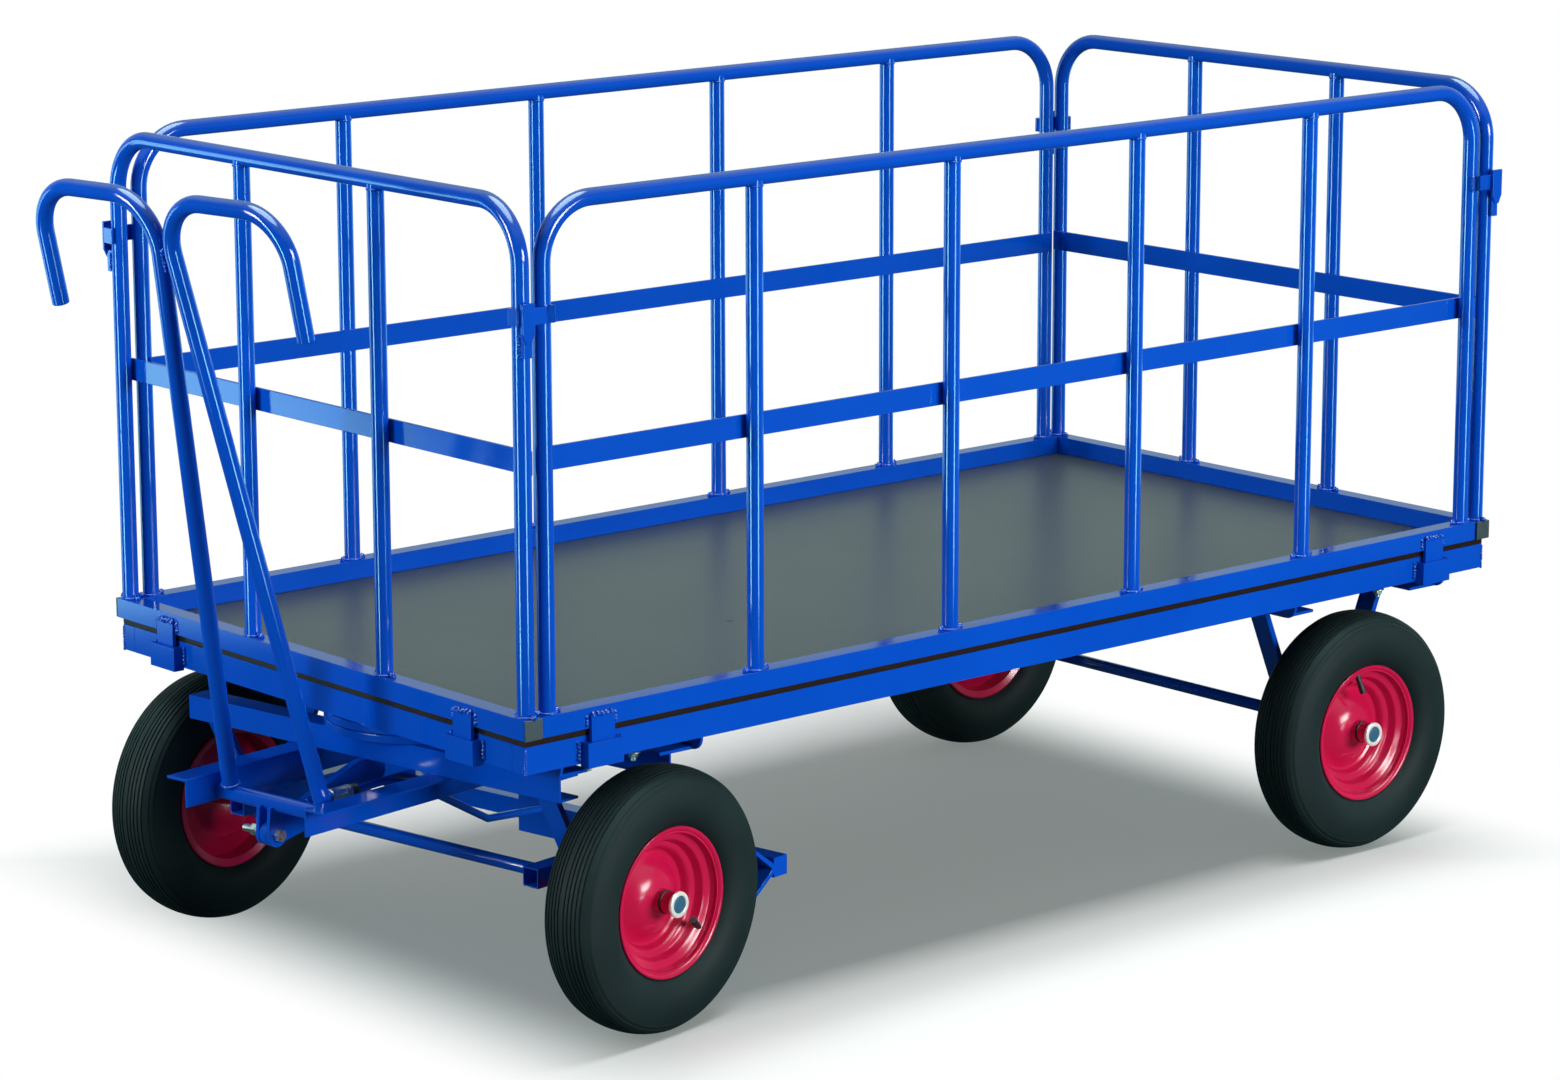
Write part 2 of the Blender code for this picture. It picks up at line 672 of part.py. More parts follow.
def cap_profile():
    hub = HUB_DIAMETER / 2
    face = HUB_LENGTH / 2 + GAP
    edge = hub + CAP_LIP
    return [
        (CAP_HOLE, face + CAP_THICKNESS), (hub, face + CAP_THICKNESS), (edge, face + CAP_THICKNESS * 2 / 3),
        (edge, face), (CAP_HOLE, face),
    ]


def make_wheel(name, parent, x, y):
    """A wheel at an axle end; on the right side it is turned round, so that its face looks out."""
    hub = empty(f"{name}_wheel", parent, (x, y, AXLE_Z))
    pieces = (
        (turned(f"{name}_tyre", tyre_profile(), TYRE_STEPS), TYRE_BLACK),
        (turned(f"{name}_rim", rim_profile(), RIM_STEPS), RED),
        (turned(f"{name}_cap", cap_profile(), RIM_STEPS), ZINC),
    )
    for piece, look in pieces:
        if y < 0:
            piece.data.transform(Matrix.Rotation(math.pi, 4, "Z"))
        finish(piece, hub, look)


# Turntable: two plates on a kingpin, carrying bolsters, arms and the front axle
def make_turntable_fixed(frame):
    hole = KINGPIN_DIAMETER / 2 + GAP
    radius = TURNTABLE_DIAMETER / 2
    upper = plate(
        "turntable_upper_plate", [circle((0, 0), radius, PLATE_SIDES), circle((0, 0), hole)],
        TURNTABLE_PLATE, Matrix.Identity(4), (0, 0, UPPER_PLATE_BOTTOM + TURNTABLE_PLATE / 2),
    )
    finish(upper, frame, BLUE)
    pin = KINGPIN_DIAMETER / 2
    nut = pin + 0.008
    head_top = LOWER_PLATE_BOTTOM - SLIDE_GAP
    nut_bottom = UPPER_PLATE_BOTTOM + TURNTABLE_PLATE + GAP
    shank = rod("kingpin", (0, 0, head_top - 0.010), (0, 0, nut_bottom + 0.022), pin)
    head = rod("kingpin_head", (0, 0, head_top - 0.012), (0, 0, head_top), nut, 6)
    top_nut = rod("kingpin_nut", (0, 0, nut_bottom), (0, 0, nut_bottom + 0.016), nut, 6)
    finish(join(shank, head, top_nut), frame, ZINC)


def make_bolster(name, frame, side):
    """A channel across the turntable, open towards the kingpin."""
    wall = ARM_PLATE
    outer = side * BOLSTER_SPREAD
    inner = side * (BOLSTER_SPREAD - BOLSTER_WIDTH)
    web = side * (BOLSTER_SPREAD - wall)
    outline = [
        (outer, BOLSTER_BOTTOM), (outer, BOLSTER_TOP), (inner, BOLSTER_TOP),
        (inner, BOLSTER_TOP - wall), (web, BOLSTER_TOP - wall), (web, BOLSTER_BOTTOM + wall),
        (inner, BOLSTER_BOTTOM + wall), (inner, BOLSTER_BOTTOM),
    ]
    length = 2 * (LEG_OUTER_Y + 0.023)
    finish(plate(name, [outline], length, IN_XZ, (0, 0, 0)), frame, BLUE)


def make_arm(name, frame, side):
    """An angle bar that runs forward under the bolsters, past the drawbar's hinge."""
    web = side * ARM_SPACING / 2
    inner = web - side * ARM_PLATE
    tip = inner + side * ARM_LEG
    low = ARM_TOP - ARM_LEG
    outline = [
        (inner, low), (web, low), (web, ARM_TOP - ARM_PLATE), (tip, ARM_TOP - ARM_PLATE),
        (tip, ARM_TOP), (inner, ARM_TOP),
    ]
    rear = -BOLSTER_SPREAD - 0.01
    middle = ((ARM_REACH + rear) / 2, 0, 0)
    finish(plate(name, [outline], ARM_REACH - rear, IN_YZ, middle), frame, BLUE)


def make_tongue(frame):
    """The upright plate under the front bolster whose eye carries the drawbar."""
    top = BOLSTER_BOTTOM - GAP
    rear = BOLSTER_SPREAD - BOLSTER_WIDTH
    outline = [(rear, top - 0.030), (rear, top), (BOLSTER_SPREAD + 0.012, top)]
    outline += arc((HINGE_REACH, HINGE_Z), HINGE_EYE, 1.31, -1.57, 8)
    outline += [(BOLSTER_SPREAD + 0.012, HINGE_Z + 0.012)]
    hole = circle((HINGE_REACH, HINGE_Z), HINGE_BOLT / 2 + GAP)
    middle = (0, TONGUE_Y, 0)
    finish(plate("drawbar_tongue", [outline, hole], TONGUE_THICKNESS, IN_XZ, middle), frame, BLUE)


def make_turntable(frame):
    hole = KINGPIN_DIAMETER / 2 + TURN_GAP
    radius = TURNTABLE_DIAMETER / 2
    lower = plate(
        "turntable_lower_plate", [circle((0, 0), radius, PLATE_SIDES), circle((0, 0), hole)],
        TURNTABLE_PLATE, Matrix.Identity(4), (0, 0, LOWER_PLATE_BOTTOM + TURNTABLE_PLATE / 2),
    )
    finish(lower, frame, BLUE)
    make_bolster("bolster_front", frame, 1)
    make_bolster("bolster_rear", frame, -1)
    make_arm("arm_left", frame, 1)
    make_arm("arm_right", frame, -1)
    make_tongue(frame)
    leg_top = BOLSTER_SPREAD - BOLSTER_WIDTH / 2
    make_axle_set("front", frame, BOLSTER_BOTTOM - GAP, leg_top, EYE_RADIUS, LEG_Y)


# Parking brake: a bar behind the front tyres, on two tubes that slide along the axle
def make_brake(frame):
    tube_bottom = AXLE_Z + AXLE_DIAMETER / 2 + TURN_GAP
    bar_top = tube_bottom - GAP
    bar_bottom = bar_top - BRAKE_TUBE
    bar_front = -TYRE_RADIUS - SHOE_DEPTH
    bar_back = bar_front - BRAKE_TUBE
    bar_end = WHEEL_Y + 0.023
    bar = box("brake_bar", (bar_back, -bar_end, bar_bottom), (bar_front, bar_end, bar_top))
    middle_z = (bar_top + bar_bottom) / 2
    shoes = []
    for side in (1, -1):
        shoes.append(make_shoe(side * WHEEL_Y, bar_front, middle_z))
    lever_front = bar_front + 0.006
    lever = box(
        "brake_lever", (bar_front - EMBED, -0.035, bar_bottom - 0.018), (lever_front, 0.040, bar_top + 0.012)
    )
    finish(join(bar, *shoes, lever), frame, BLUE)
    outer_y = LEG_Y - LEG_WIDTH / 2 - 0.003
    for name, side in (("left", 1), ("right", -1)):
        y = sorted((side * outer_y, side * (outer_y - BRAKE_TUBE)))
        tube = square_tube(
            f"brake_tube_{name}", (bar_back, y[0], tube_bottom),
            (BRAKE_TUBE_REACH, y[1], tube_bottom + BRAKE_TUBE), 0, SILL_WALL,
        )
        finish(tube, frame, BLUE)
    rod_y = BRAKE_ROD_Y
    rod_z = HINGE_Z + BRAKE_ROD_RISE
    points = [
        (lever_front + SLIDE_GAP, rod_y, bar_top), (-BRAKE_ROD_BACK, rod_y, bar_top + BRAKE_ROD_LIFT),
        (BRAKE_ROD_KNEE, rod_y, rod_z - BRAKE_ROD_DIP), (BRAKE_ROD_TOP, rod_y, rod_z),
        (HINGE_REACH - BRAKE_ROD_END, rod_y, rod_z),
    ]
    pull = bent_tube("brake_rod", points, BRAKE_ROD_RADIUS)
    sleeve_end = SLEEVE_PLACE + SLEEVE_LENGTH
    sleeve = rod(
        "brake_sleeve", (SLEEVE_PLACE, rod_y, rod_z), (sleeve_end, rod_y, rod_z), SLEEVE_RADIUS
    )
    finish(join(pull, sleeve), frame, ZINC)


def make_shoe(y, bar_front, middle_z):
    """A brake shoe: an angle with its corner on the bar and its two edges at the tyre."""
    half = SHOE_HEIGHT / 2
    off_centre = half + abs(middle_z - AXLE_Z)
    tip = BRAKE_GAP - math.sqrt((TYRE_RADIUS + BRAKE_GAP) ** 2 - off_centre ** 2) - 2 * BRAKE_GAP
    wall = LATCH_PLATE
    outline = [
        (bar_front - EMBED, middle_z - wall), (tip, middle_z - half), (tip, middle_z - half + wall * 1.4),
        (bar_front + wall, middle_z), (tip, middle_z + half - wall * 1.4), (tip, middle_z + half),
        (bar_front - EMBED, middle_z + wall),
    ]
    return plate("brake_shoe", [outline], SHOE_WIDTH, IN_XZ, (0, y, 0))


# Drawbar: two bent tubes on a cross tube with lugs, swinging on one bolt
def drawbar_points(side):
    """Centre line of one drawbar tube in the drawbar's frame, from the cross tube to its grip."""
    radius = DRAWBAR_TUBE / 2
    foot_y = ARM_SPACING / 2 - ARM_PLATE - radius - 0.0115
    foot_z = CROSS_TUBE_OFFSET
    meet_y = radius + GAP + SLIDE_GAP / 2
    top = DRAWBAR_LENGTH
    lean = math.atan2(foot_y - meet_y, top - HANDLE_INNER_BEND * 1.1 - foot_z)
    centre_y = meet_y + HANDLE_INNER_BEND
    inner = arc((centre_y, top - HANDLE_INNER_BEND), HANDLE_INNER_BEND, math.pi + lean, math.pi / 2, 9)
    centre_y = HANDLE_REACH - HANDLE_OUTER_BEND
    outer = arc((centre_y, top - HANDLE_OUTER_BEND), HANDLE_OUTER_BEND, math.pi / 2, 0, 8)
    grip = [(HANDLE_REACH, top - HANDLE_OUTER_BEND - HANDLE_GRIP)]
    line = [(foot_y, foot_z)] + inner + outer + grip
    return [(-DRAWBAR_SET_BACK, side * y, z) for y, z in line]


def make_drawbar(frame):
    radius = DRAWBAR_TUBE / 2
    half = ARM_SPACING / 2 - ARM_PLATE - 0.004
    axis = [(-DRAWBAR_SET_BACK, y, CROSS_TUBE_OFFSET) for y in (-half, half)]
    for name, side in (("left", 1), ("right", -1)):
        tube = bent_tube(f"drawbar_tube_{name}", drawbar_points(side), radius)
        finish(cut(tube, rod("saddle", *axis, radius + SLIDE_GAP)), frame, BLUE)
    cross = rod("drawbar_cross_tube", *axis, radius, 12)
    lug_y = TONGUE_THICKNESS / 2 + SLIDE_GAP + LUG_THICKNESS / 2
    hole = circle((0, 0), HINGE_BOLT / 2 + GAP)
    outline = [(radius - DRAWBAR_SET_BACK + 0.006, CROSS_TUBE_OFFSET)]
    outline += [(-DRAWBAR_SET_BACK - radius * 0.8, CROSS_TUBE_OFFSET)]
    outline += arc((0, 0), HINGE_EYE, math.pi, 2 * math.pi, 10)
    lugs = []
    for side in (1, -1):
        middle = (0, TONGUE_Y + side * lug_y, 0)
        lugs.append(plate("lug", [outline, hole], LUG_THICKNESS, IN_XZ, middle))
    finish(join(cross, *lugs), frame, BLUE)
    face = lug_y + LUG_THICKNESS / 2 + GAP
    near = TONGUE_Y + face
    far = TONGUE_Y - face
    bolt = HINGE_BOLT / 2
    flats = bolt + 0.0035
    shank = rod("drawbar_bolt", (0, near + 0.004, 0), (0, far - 0.040, 0), bolt)
    head = rod("bolt_head", (0, near, 0), (0, near + 0.008, 0), flats, 6)
    nut = rod("bolt_nut", (0, far, 0), (0, far - 0.010, 0), flats, 6)
    lock_nut = rod("bolt_lock_nut", (0, far - 0.012, 0), (0, far - 0.022, 0), flats, 6)
    finish(join(shank, head, nut, lock_nut), frame, ZINC)


def stand_on_origin():
    """Move the whole trailer so that its box is centred on Z, with the tyres on the floor."""
    bpy.context.view_layer.update()
    corners = [
        piece.matrix_world @ vertex.co
        for piece in TRAILER.objects if piece.type == "MESH" for vertex in piece.data.vertices
    ]
    for axis in (0, 1):
        places = [corner[axis] for corner in corners]
        ROOT.location[axis] -= (min(places) + max(places)) / 2
    ROOT.location[2] -= min(corner[2] for corner in corners)


make_deck()
make_rims()
make_cross_members()
make_side_walls()
make_end_walls()
REAR = empty("rear_axle_set", BED, (REAR_AXLE_X, 0, 0))
REAR_LEG_TOP = REAR_CROSS_SPREAD - CROSS_FLANGE * 0.6
make_axle_set("rear", REAR, CROSS_BOTTOM - GAP, REAR_LEG_TOP, REAR_LEG_FOOT, REAR_LEG_Y)
FIXED_TURNTABLE = empty("turntable_fixed", BED, (KINGPIN_X, 0, 0))
make_turntable_fixed(FIXED_TURNTABLE)
TURNTABLE = empty("turntable", BED, (KINGPIN_X, 0, 0), (0, 0, STEER_ANGLE))
make_turntable(TURNTABLE)
make_brake(empty("brake", TURNTABLE))
make_drawbar(empty("drawbar", TURNTABLE, (HINGE_REACH, 0, HINGE_Z), (0, DRAWBAR_LEAN, 0)))
for where, carrier in (("front", TURNTABLE), ("rear", REAR)):
    make_wheel(f"{where}_left", carrier, 0, WHEEL_Y)
    make_wheel(f"{where}_right", carrier, 0, -WHEEL_Y)
stand_on_origin()
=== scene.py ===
import json
import math

import bpy
from mathutils import Matrix, Vector

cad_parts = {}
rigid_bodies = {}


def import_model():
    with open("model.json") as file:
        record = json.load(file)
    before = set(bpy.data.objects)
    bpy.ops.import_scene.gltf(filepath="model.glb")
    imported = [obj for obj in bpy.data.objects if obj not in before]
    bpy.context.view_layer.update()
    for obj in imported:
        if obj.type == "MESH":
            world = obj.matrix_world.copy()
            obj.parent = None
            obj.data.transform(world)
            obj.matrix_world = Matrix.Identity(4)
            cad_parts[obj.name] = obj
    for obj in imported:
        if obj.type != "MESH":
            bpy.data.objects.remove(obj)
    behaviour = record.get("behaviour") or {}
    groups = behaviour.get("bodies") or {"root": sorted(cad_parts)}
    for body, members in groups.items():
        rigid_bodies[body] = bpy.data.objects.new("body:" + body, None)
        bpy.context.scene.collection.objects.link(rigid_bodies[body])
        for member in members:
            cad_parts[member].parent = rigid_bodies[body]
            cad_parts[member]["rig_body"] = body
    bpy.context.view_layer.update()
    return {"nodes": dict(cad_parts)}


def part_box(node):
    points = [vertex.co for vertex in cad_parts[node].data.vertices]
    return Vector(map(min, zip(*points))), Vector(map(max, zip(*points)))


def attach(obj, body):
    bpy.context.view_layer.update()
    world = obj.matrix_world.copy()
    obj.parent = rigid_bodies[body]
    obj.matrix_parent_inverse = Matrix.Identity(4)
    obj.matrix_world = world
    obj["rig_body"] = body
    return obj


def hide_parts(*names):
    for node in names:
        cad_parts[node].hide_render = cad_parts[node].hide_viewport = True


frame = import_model()
nodes = frame["nodes"]


# Deck
# A film-faced plywood board laid on the bed's rims. Dark resin film with a fine pressed grain
# covers both faces. The sawn edge shows its veneers, darkened further with painted shade for the
# shadowed gap between the sills and the rims.
class Paint:
    """A value in a finish. Sums and products of paints add the Math nodes that work them out."""

    def __init__(self, tree, socket=None):
        self.tree = tree
        self.socket = socket

    def node(self, kind, settings=None, sockets=None, output=0):
        made = self.tree.nodes.new(kind)
        for key, value in (settings or {}).items():
            setattr(made, key, value)
        for key, value in (sockets or {}).items():
            if isinstance(value, Paint):
                self.tree.links.new(value.socket, made.inputs[key])
            else:
                made.inputs[key].default_value = value
        return Paint(self.tree, made.outputs[output])

    def work(self, operation, *values):
        return self.node("ShaderNodeMath", {"operation": operation}, dict(enumerate(values)))

    def __add__(self, other):
        return self.work("ADD", self, other)

    def __radd__(self, other):
        return self.work("ADD", other, self)

    def __sub__(self, other):
        return self.work("SUBTRACT", self, other)

    def __rsub__(self, other):
        return self.work("SUBTRACT", other, self)

    def __mul__(self, other):
        return self.work("MULTIPLY", self, other)

    def __rmul__(self, other):
        return self.work("MULTIPLY", other, self)

    def __gt__(self, other):
        return self.work("GREATER_THAN", self, other)

    def __abs__(self):
        return self.work("ABSOLUTE", self)


def new_finish(name, **constants):
    """A Principled material with its constant sockets set, and the place on the piece to mix from."""
    material = bpy.data.materials.new(name)
    material.use_nodes = True
    shader = material.node_tree.nodes["Principled BSDF"]
    for socket, value in constants.items():
        shader.inputs[socket.replace("_", " ")].default_value = value
    place = Paint(material.node_tree).node("ShaderNodeTexCoord", output="Object")
    return material, place, shader


def feed(paint, shader, socket):
    paint.tree.links.new(paint.socket, shader.inputs[socket])


def axis_of(vector, axis):
    return vector.node("ShaderNodeSeparateXYZ", None, {0: vector}, axis)


def cloud(place, scale, detail=3.0):
    return place.node("ShaderNodeTexNoise", None, {"Vector": place, "Scale": scale, "Detail": detail})


def blend_of(share, first, second):
    return share.node("ShaderNodeMix", {"data_type": "RGBA"}, {0: share, 6: first, 7: second}, 2)


def relief(height, strength, depth):
    sockets = {"Height": height, "Strength": strength, "Distance": depth}
    return height.node("ShaderNodeBump", None, sockets)


def alone():
    bpy.ops.object.select_all(action="DESELECT")


def flat_shaded(piece):
    """Smooth edges on a piece whose large faces stay flat."""
    bpy.ops.object.shade_smooth_by_angle(angle=math.radians(38))
    evening = piece.modifiers.new("evening", "WEIGHTED_NORMAL")
    evening.keep_sharp = True
    bpy.ops.object.modifier_apply(modifier=evening.name)


def softened(node, edge, material):
    """A copy of a flat-sided node with its edges rounded, standing in its place."""
    piece = nodes[node].copy()
    piece.data = nodes[node].data.copy()
    for key in list(piece.keys()):
        del piece[key]
    piece.parent = None
    piece.name = f"{node}_rounded"
    bpy.context.scene.collection.objects.link(piece)
    alone()
    piece.select_set(True)
    bpy.context.view_layer.objects.active = piece
    bpy.ops.object.mode_set(mode="EDIT")
    bpy.ops.mesh.select_all(action="SELECT")
    bpy.ops.mesh.remove_doubles(threshold=0.00005)
    bpy.ops.mesh.dissolve_limited(angle_limit=math.radians(1))
    bpy.ops.object.mode_set(mode="OBJECT")
    rounding = piece.modifiers.new("rounding", "BEVEL")
    rounding.width = edge
    rounding.segments = 3
    rounding.limit_method = "ANGLE"
    rounding.angle_limit = math.radians(40)
    bpy.ops.object.modifier_apply(modifier=rounding.name)
    flat_shaded(piece)
    piece.data.materials.clear()
    piece.data.materials.append(material)
    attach(piece, nodes[node]["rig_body"])
    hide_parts(node)
    return piece


deck_edge = 0.0008
veneer_rate = 4400.0
film_ply, place, shader = new_finish("film_ply", Specular_IOR_Level=0.2)
film = abs(axis_of(place.node("ShaderNodeNewGeometry", output="True Normal"), 2)) > 0.5
speckle = cloud(place, 420.0, 2.0)
smear = cloud(place, 2.2, 4.0)
film_colour = blend_of(speckle, (0.006, 0.008, 0.008, 1), (0.068, 0.076, 0.073, 1))
film_colour = blend_of(smear * 0.5, film_colour, (0.042, 0.031, 0.030, 1))
veneer = place.work("SINE", axis_of(place, 2) * veneer_rate) * 0.5 + 0.5
# The sawn edge's veneer stripes, made darker than the wood with painted shade from the gap under the
# sills.
edge_veneer_and_shade = blend_of(veneer, (0.005, 0.003, 0.0025, 1), (0.022, 0.011, 0.008, 1))
feed(blend_of(film, edge_veneer_and_shade, film_colour), shader, "Base Color")
feed(0.22 + speckle * 0.16 + smear * 0.08, shader, "Roughness")
feed(relief(speckle, 0.45, 0.0005), shader, "Normal")
softened("deck", deck_edge, film_ply)
deck_low, deck_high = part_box("deck")
bed_x = (deck_low.x + deck_high.x) / 2
deck_top = deck_high.z


# Bed frame
# Rectangular steel rims with welded pockets for the wall tabs, and four folded cross members
# below the deck. All of it is blue enamel, baked on over rounded edges.
rim_edge = 0.0022
member_edge = 0.0012
blue_enamel, place, shader = new_finish("blue_enamel", Specular_IOR_Level=0.45)
peel = cloud(place, 420.0, 2.0)
drift = cloud(place, 6.0)
feed(blend_of(drift, (0.0003, 0.060, 0.470, 1), (0.0010, 0.080, 0.570, 1)), shader, "Base Color")
feed(0.07 + drift * 0.06, shader, "Roughness")
feed(relief(peel, 0.05, 0.0003), shader, "Normal")
for rim in ("side_rim_left", "side_rim_right", "end_rim_front", "end_rim_rear"):
    softened(rim, rim_edge, blue_enamel)
for member in ("front_1", "front_2", "rear_1", "rear_2"):
    softened(f"cross_member_{member}", member_edge, blue_enamel)


# Wall frames
# Each wall is a hoop of 25 mm round tube with straight uprights welded between its rail and the
# sill. The beads of weld stay visible under the enamel as small bright lumps.
post_radius = 0.0125
hoop_bend = 0.085
sill_rise = 0.0306
wall_rise = 0.756
post_foot = deck_top + sill_rise
rail_z = deck_top + wall_rise - post_radius
side_post_x = 0.954
side_post_y = 0.491
end_post_x = 0.991
foot_weld = 0.0022
rail_weld = 0.0016
lump_weld = 0.0040
lump_run = 0.006


def tube_from(name, at, radius, facing=(0, 0, 0), sides=28):
    """Starts a tube as a ring, left selected in edit mode for its runs and bends."""
    alone()
    bpy.ops.mesh.primitive_circle_add(vertices=sides, radius=radius, location=at, rotation=facing)
    bpy.ops.object.transform_apply(location=True, rotation=True, scale=True)
    bpy.context.object.name = name
    bpy.ops.object.mode_set(mode="EDIT")
    bpy.ops.mesh.select_all(action="SELECT")


def run(step):
    bpy.ops.mesh.extrude_region_move(TRANSFORM_OT_translate={"value": step})


def bend(centre, axis, angle, steps=14):
    bpy.ops.mesh.spin(steps=steps, angle=angle, center=centre, axis=axis)


def closed():
    """Caps both ends of a tube, turns its faces outwards and leaves it smooth."""
    bpy.ops.mesh.select_all(action="SELECT")
    bpy.ops.mesh.remove_doubles(threshold=0.00001)
    bpy.ops.mesh.select_all(action="DESELECT")
    bpy.ops.mesh.select_mode(type="EDGE")
    bpy.ops.mesh.select_non_manifold()
    bpy.ops.mesh.edge_face_add()
    bpy.ops.mesh.select_all(action="SELECT")
    bpy.ops.mesh.normals_make_consistent(inside=False)
    bpy.ops.mesh.select_mode(type="VERT")
    bpy.ops.object.mode_set(mode="OBJECT")
    bpy.ops.object.shade_smooth_by_angle(angle=math.radians(40))
    return bpy.context.object


def bead(at, radius, thickness, seed, facing=(0, 0, 0)):
    """A lumpy ring of weld round a tube."""
    alone()
    bpy.ops.mesh.primitive_torus_add(
        location=at, rotation=facing, major_radius=radius, minor_radius=thickness,
        major_segments=26, minor_segments=8,
    )
    bpy.ops.object.transform_apply(location=True, rotation=True, scale=True)
    bpy.ops.object.mode_set(mode="EDIT")
    bpy.ops.mesh.select_all(action="SELECT")
    bpy.ops.transform.vertex_random(offset=thickness * 0.5, seed=seed)
    bpy.ops.mesh.vertices_smooth(factor=0.4, repeat=1)
    bpy.ops.object.mode_set(mode="OBJECT")
    bpy.ops.object.shade_smooth()
    return bpy.context.object


def seam(start, end, thickness, seed):
    """A straight run of weld between two points, in overlapping ripples."""
    start, end = Vector(start), Vector(end)
    count = max(3, int((end - start).length / (thickness * 1.5)))
    alone()
    ripples = []
    for number in range(count):
        bpy.ops.mesh.primitive_ico_sphere_add(
            subdivisions=2, radius=thickness, location=start.lerp(end, (number + 0.5) / count)
        )
        ripples.append(bpy.context.object)
    for ripple in ripples:
        ripple.select_set(True)
    bpy.ops.object.join()
    bpy.ops.object.transform_apply(location=True, rotation=True, scale=True)
    bpy.ops.object.mode_set(mode="EDIT")
    bpy.ops.mesh.select_all(action="SELECT")
    bpy.ops.transform.vertex_random(offset=thickness * 0.5, seed=seed)
    bpy.ops.object.mode_set(mode="OBJECT")
    bpy.ops.object.shade_smooth()
    return bpy.context.object


def joined(name, parts):
    """Joins parts into one piece at the origin."""
    alone()
    for part in parts:
        part.select_set(True)
    bpy.context.view_layer.objects.active = parts[0]
    if len(parts) > 1:
        bpy.ops.object.join()
    bpy.ops.object.transform_apply(location=True, rotation=True, scale=True)
    piece = bpy.context.object
    piece.name = name
    return piece


def dressed(piece, material, body, slot, *stands_for):
    """Gives a finished piece its finish and the body it rides on, and hides the nodes it stands for.
    """
    piece.data.materials.clear()
    piece.data.materials.append(material)
    for face in piece.data.polygons:
        face.material_index = 0
    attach(piece, body)
    if stands_for:
        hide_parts(*stands_for)
    return piece


def hoop(name, along, across, half, bays):
    """The tube of a wall: up, over and down, with its uprights and their welds."""

    def spot(u, z):
        return (bed_x + u, across, z) if along == "x" else (bed_x + across, u, z)

    axis = (0, 1, 0) if along == "x" else (-1, 0, 0)
    way = Vector((1, 0, 0)) if along == "x" else Vector((0, 1, 0))
    bend_z = rail_z - hoop_bend
    tube_from(name, spot(half, post_foot), post_radius)
    run((0, 0, bend_z - post_foot))
    bend(spot(half - hoop_bend, bend_z), axis, math.pi / 2)
    run(-way * 2 * (half - hoop_bend))
    bend(spot(hoop_bend - half, bend_z), axis, math.pi / 2)
    run((0, 0, post_foot - bend_z))
    parts = [closed()]
    for number in range(bays + 1):
        u = half - 2 * half * number / bays
        parts.append(bead(spot(u, post_foot + 0.001), post_radius + 0.0008, foot_weld, number + 3))
        if 0 < number < bays:
            tube_from("upright", spot(u, post_foot), post_radius)
            run((0, 0, rail_z - post_foot - 0.004))
            parts.append(closed())
            parts.append(bead(spot(u, rail_z - post_radius), post_radius, rail_weld, number + 31))
        for side in (1, -1):
            lump = spot(u + side * (post_radius + 0.002), post_foot + 0.002)
            parts.append(seam(lump, Vector(lump) + way * side * lump_run, lump_weld, number + 53))
    return parts


# Corner latches
# A flat strap welded to each end post of a side wall runs past the post of the end wall and turns
# in across its front; a cut plate on that post stands outside it and keeps it from spreading.
latch_height = 0.076
latch_z = deck_top + 0.536
latch_neck = latch_z + latch_height * 0.46
strap_gap = 0.0015
strap_thickness = 0.004
strap_width = 0.024
strap_y = side_post_y + post_radius + strap_gap
strap_low = latch_z + latch_height * 0.58
strap_high = strap_low + strap_width
hook_gap = 0.001
hook_thickness = 0.005


def flat_block(name, low, high, edge):
    """A piece of flat bar between two corners, with its edges broken."""
    alone()
    low, high = Vector(low), Vector(high)
    bpy.ops.mesh.primitive_cube_add(size=1.0, location=(low + high) / 2)
    bpy.context.object.dimensions = high - low
    bpy.ops.object.transform_apply(location=True, rotation=True, scale=True)
    bpy.context.object.name = name
    bpy.ops.object.mode_set(mode="EDIT")
    bpy.ops.mesh.select_all(action="SELECT")
    bpy.ops.mesh.bevel(offset=edge, segments=3, affect="EDGES")
    bpy.ops.object.mode_set(mode="OBJECT")
    flat_shaded(bpy.context.object)
    return bpy.context.object


def x_span(end, first, second):
    """Two places along the bed, seen from its middle towards one end, the lower first."""
    return sorted((bed_x + end * first, bed_x + end * second))


def y_span(outward, first, second):
    return sorted((outward * first, outward * second))


def latch_strap(outward, end):
    front = end_post_x + post_radius + strap_gap
    inner = side_post_x - post_radius * 0.8
    outer_y = strap_y + strap_thickness
    blocks = (
        (inner, side_post_x + post_radius / 2, side_post_y + post_radius / 2, outer_y),
        (inner + 0.001, front + strap_thickness, strap_y, outer_y),
        (front, front + strap_thickness, side_post_y - post_radius / 2, outer_y),
    )
    parts = []
    for start, stop, near, far in blocks:
        x = x_span(end, start, stop)
        y = y_span(outward, near, far)
        parts.append(flat_block("strap", (x[0], y[0], strap_low), (x[1], y[1], strap_high), 0.0008))
    x = bed_x + end * (side_post_x - post_radius * 0.7)
    y = outward * (strap_y + 0.001)
    parts.append(seam((x, y, strap_low + 0.002), (x, y, strap_high - 0.002), 0.0026, 71))
    return parts


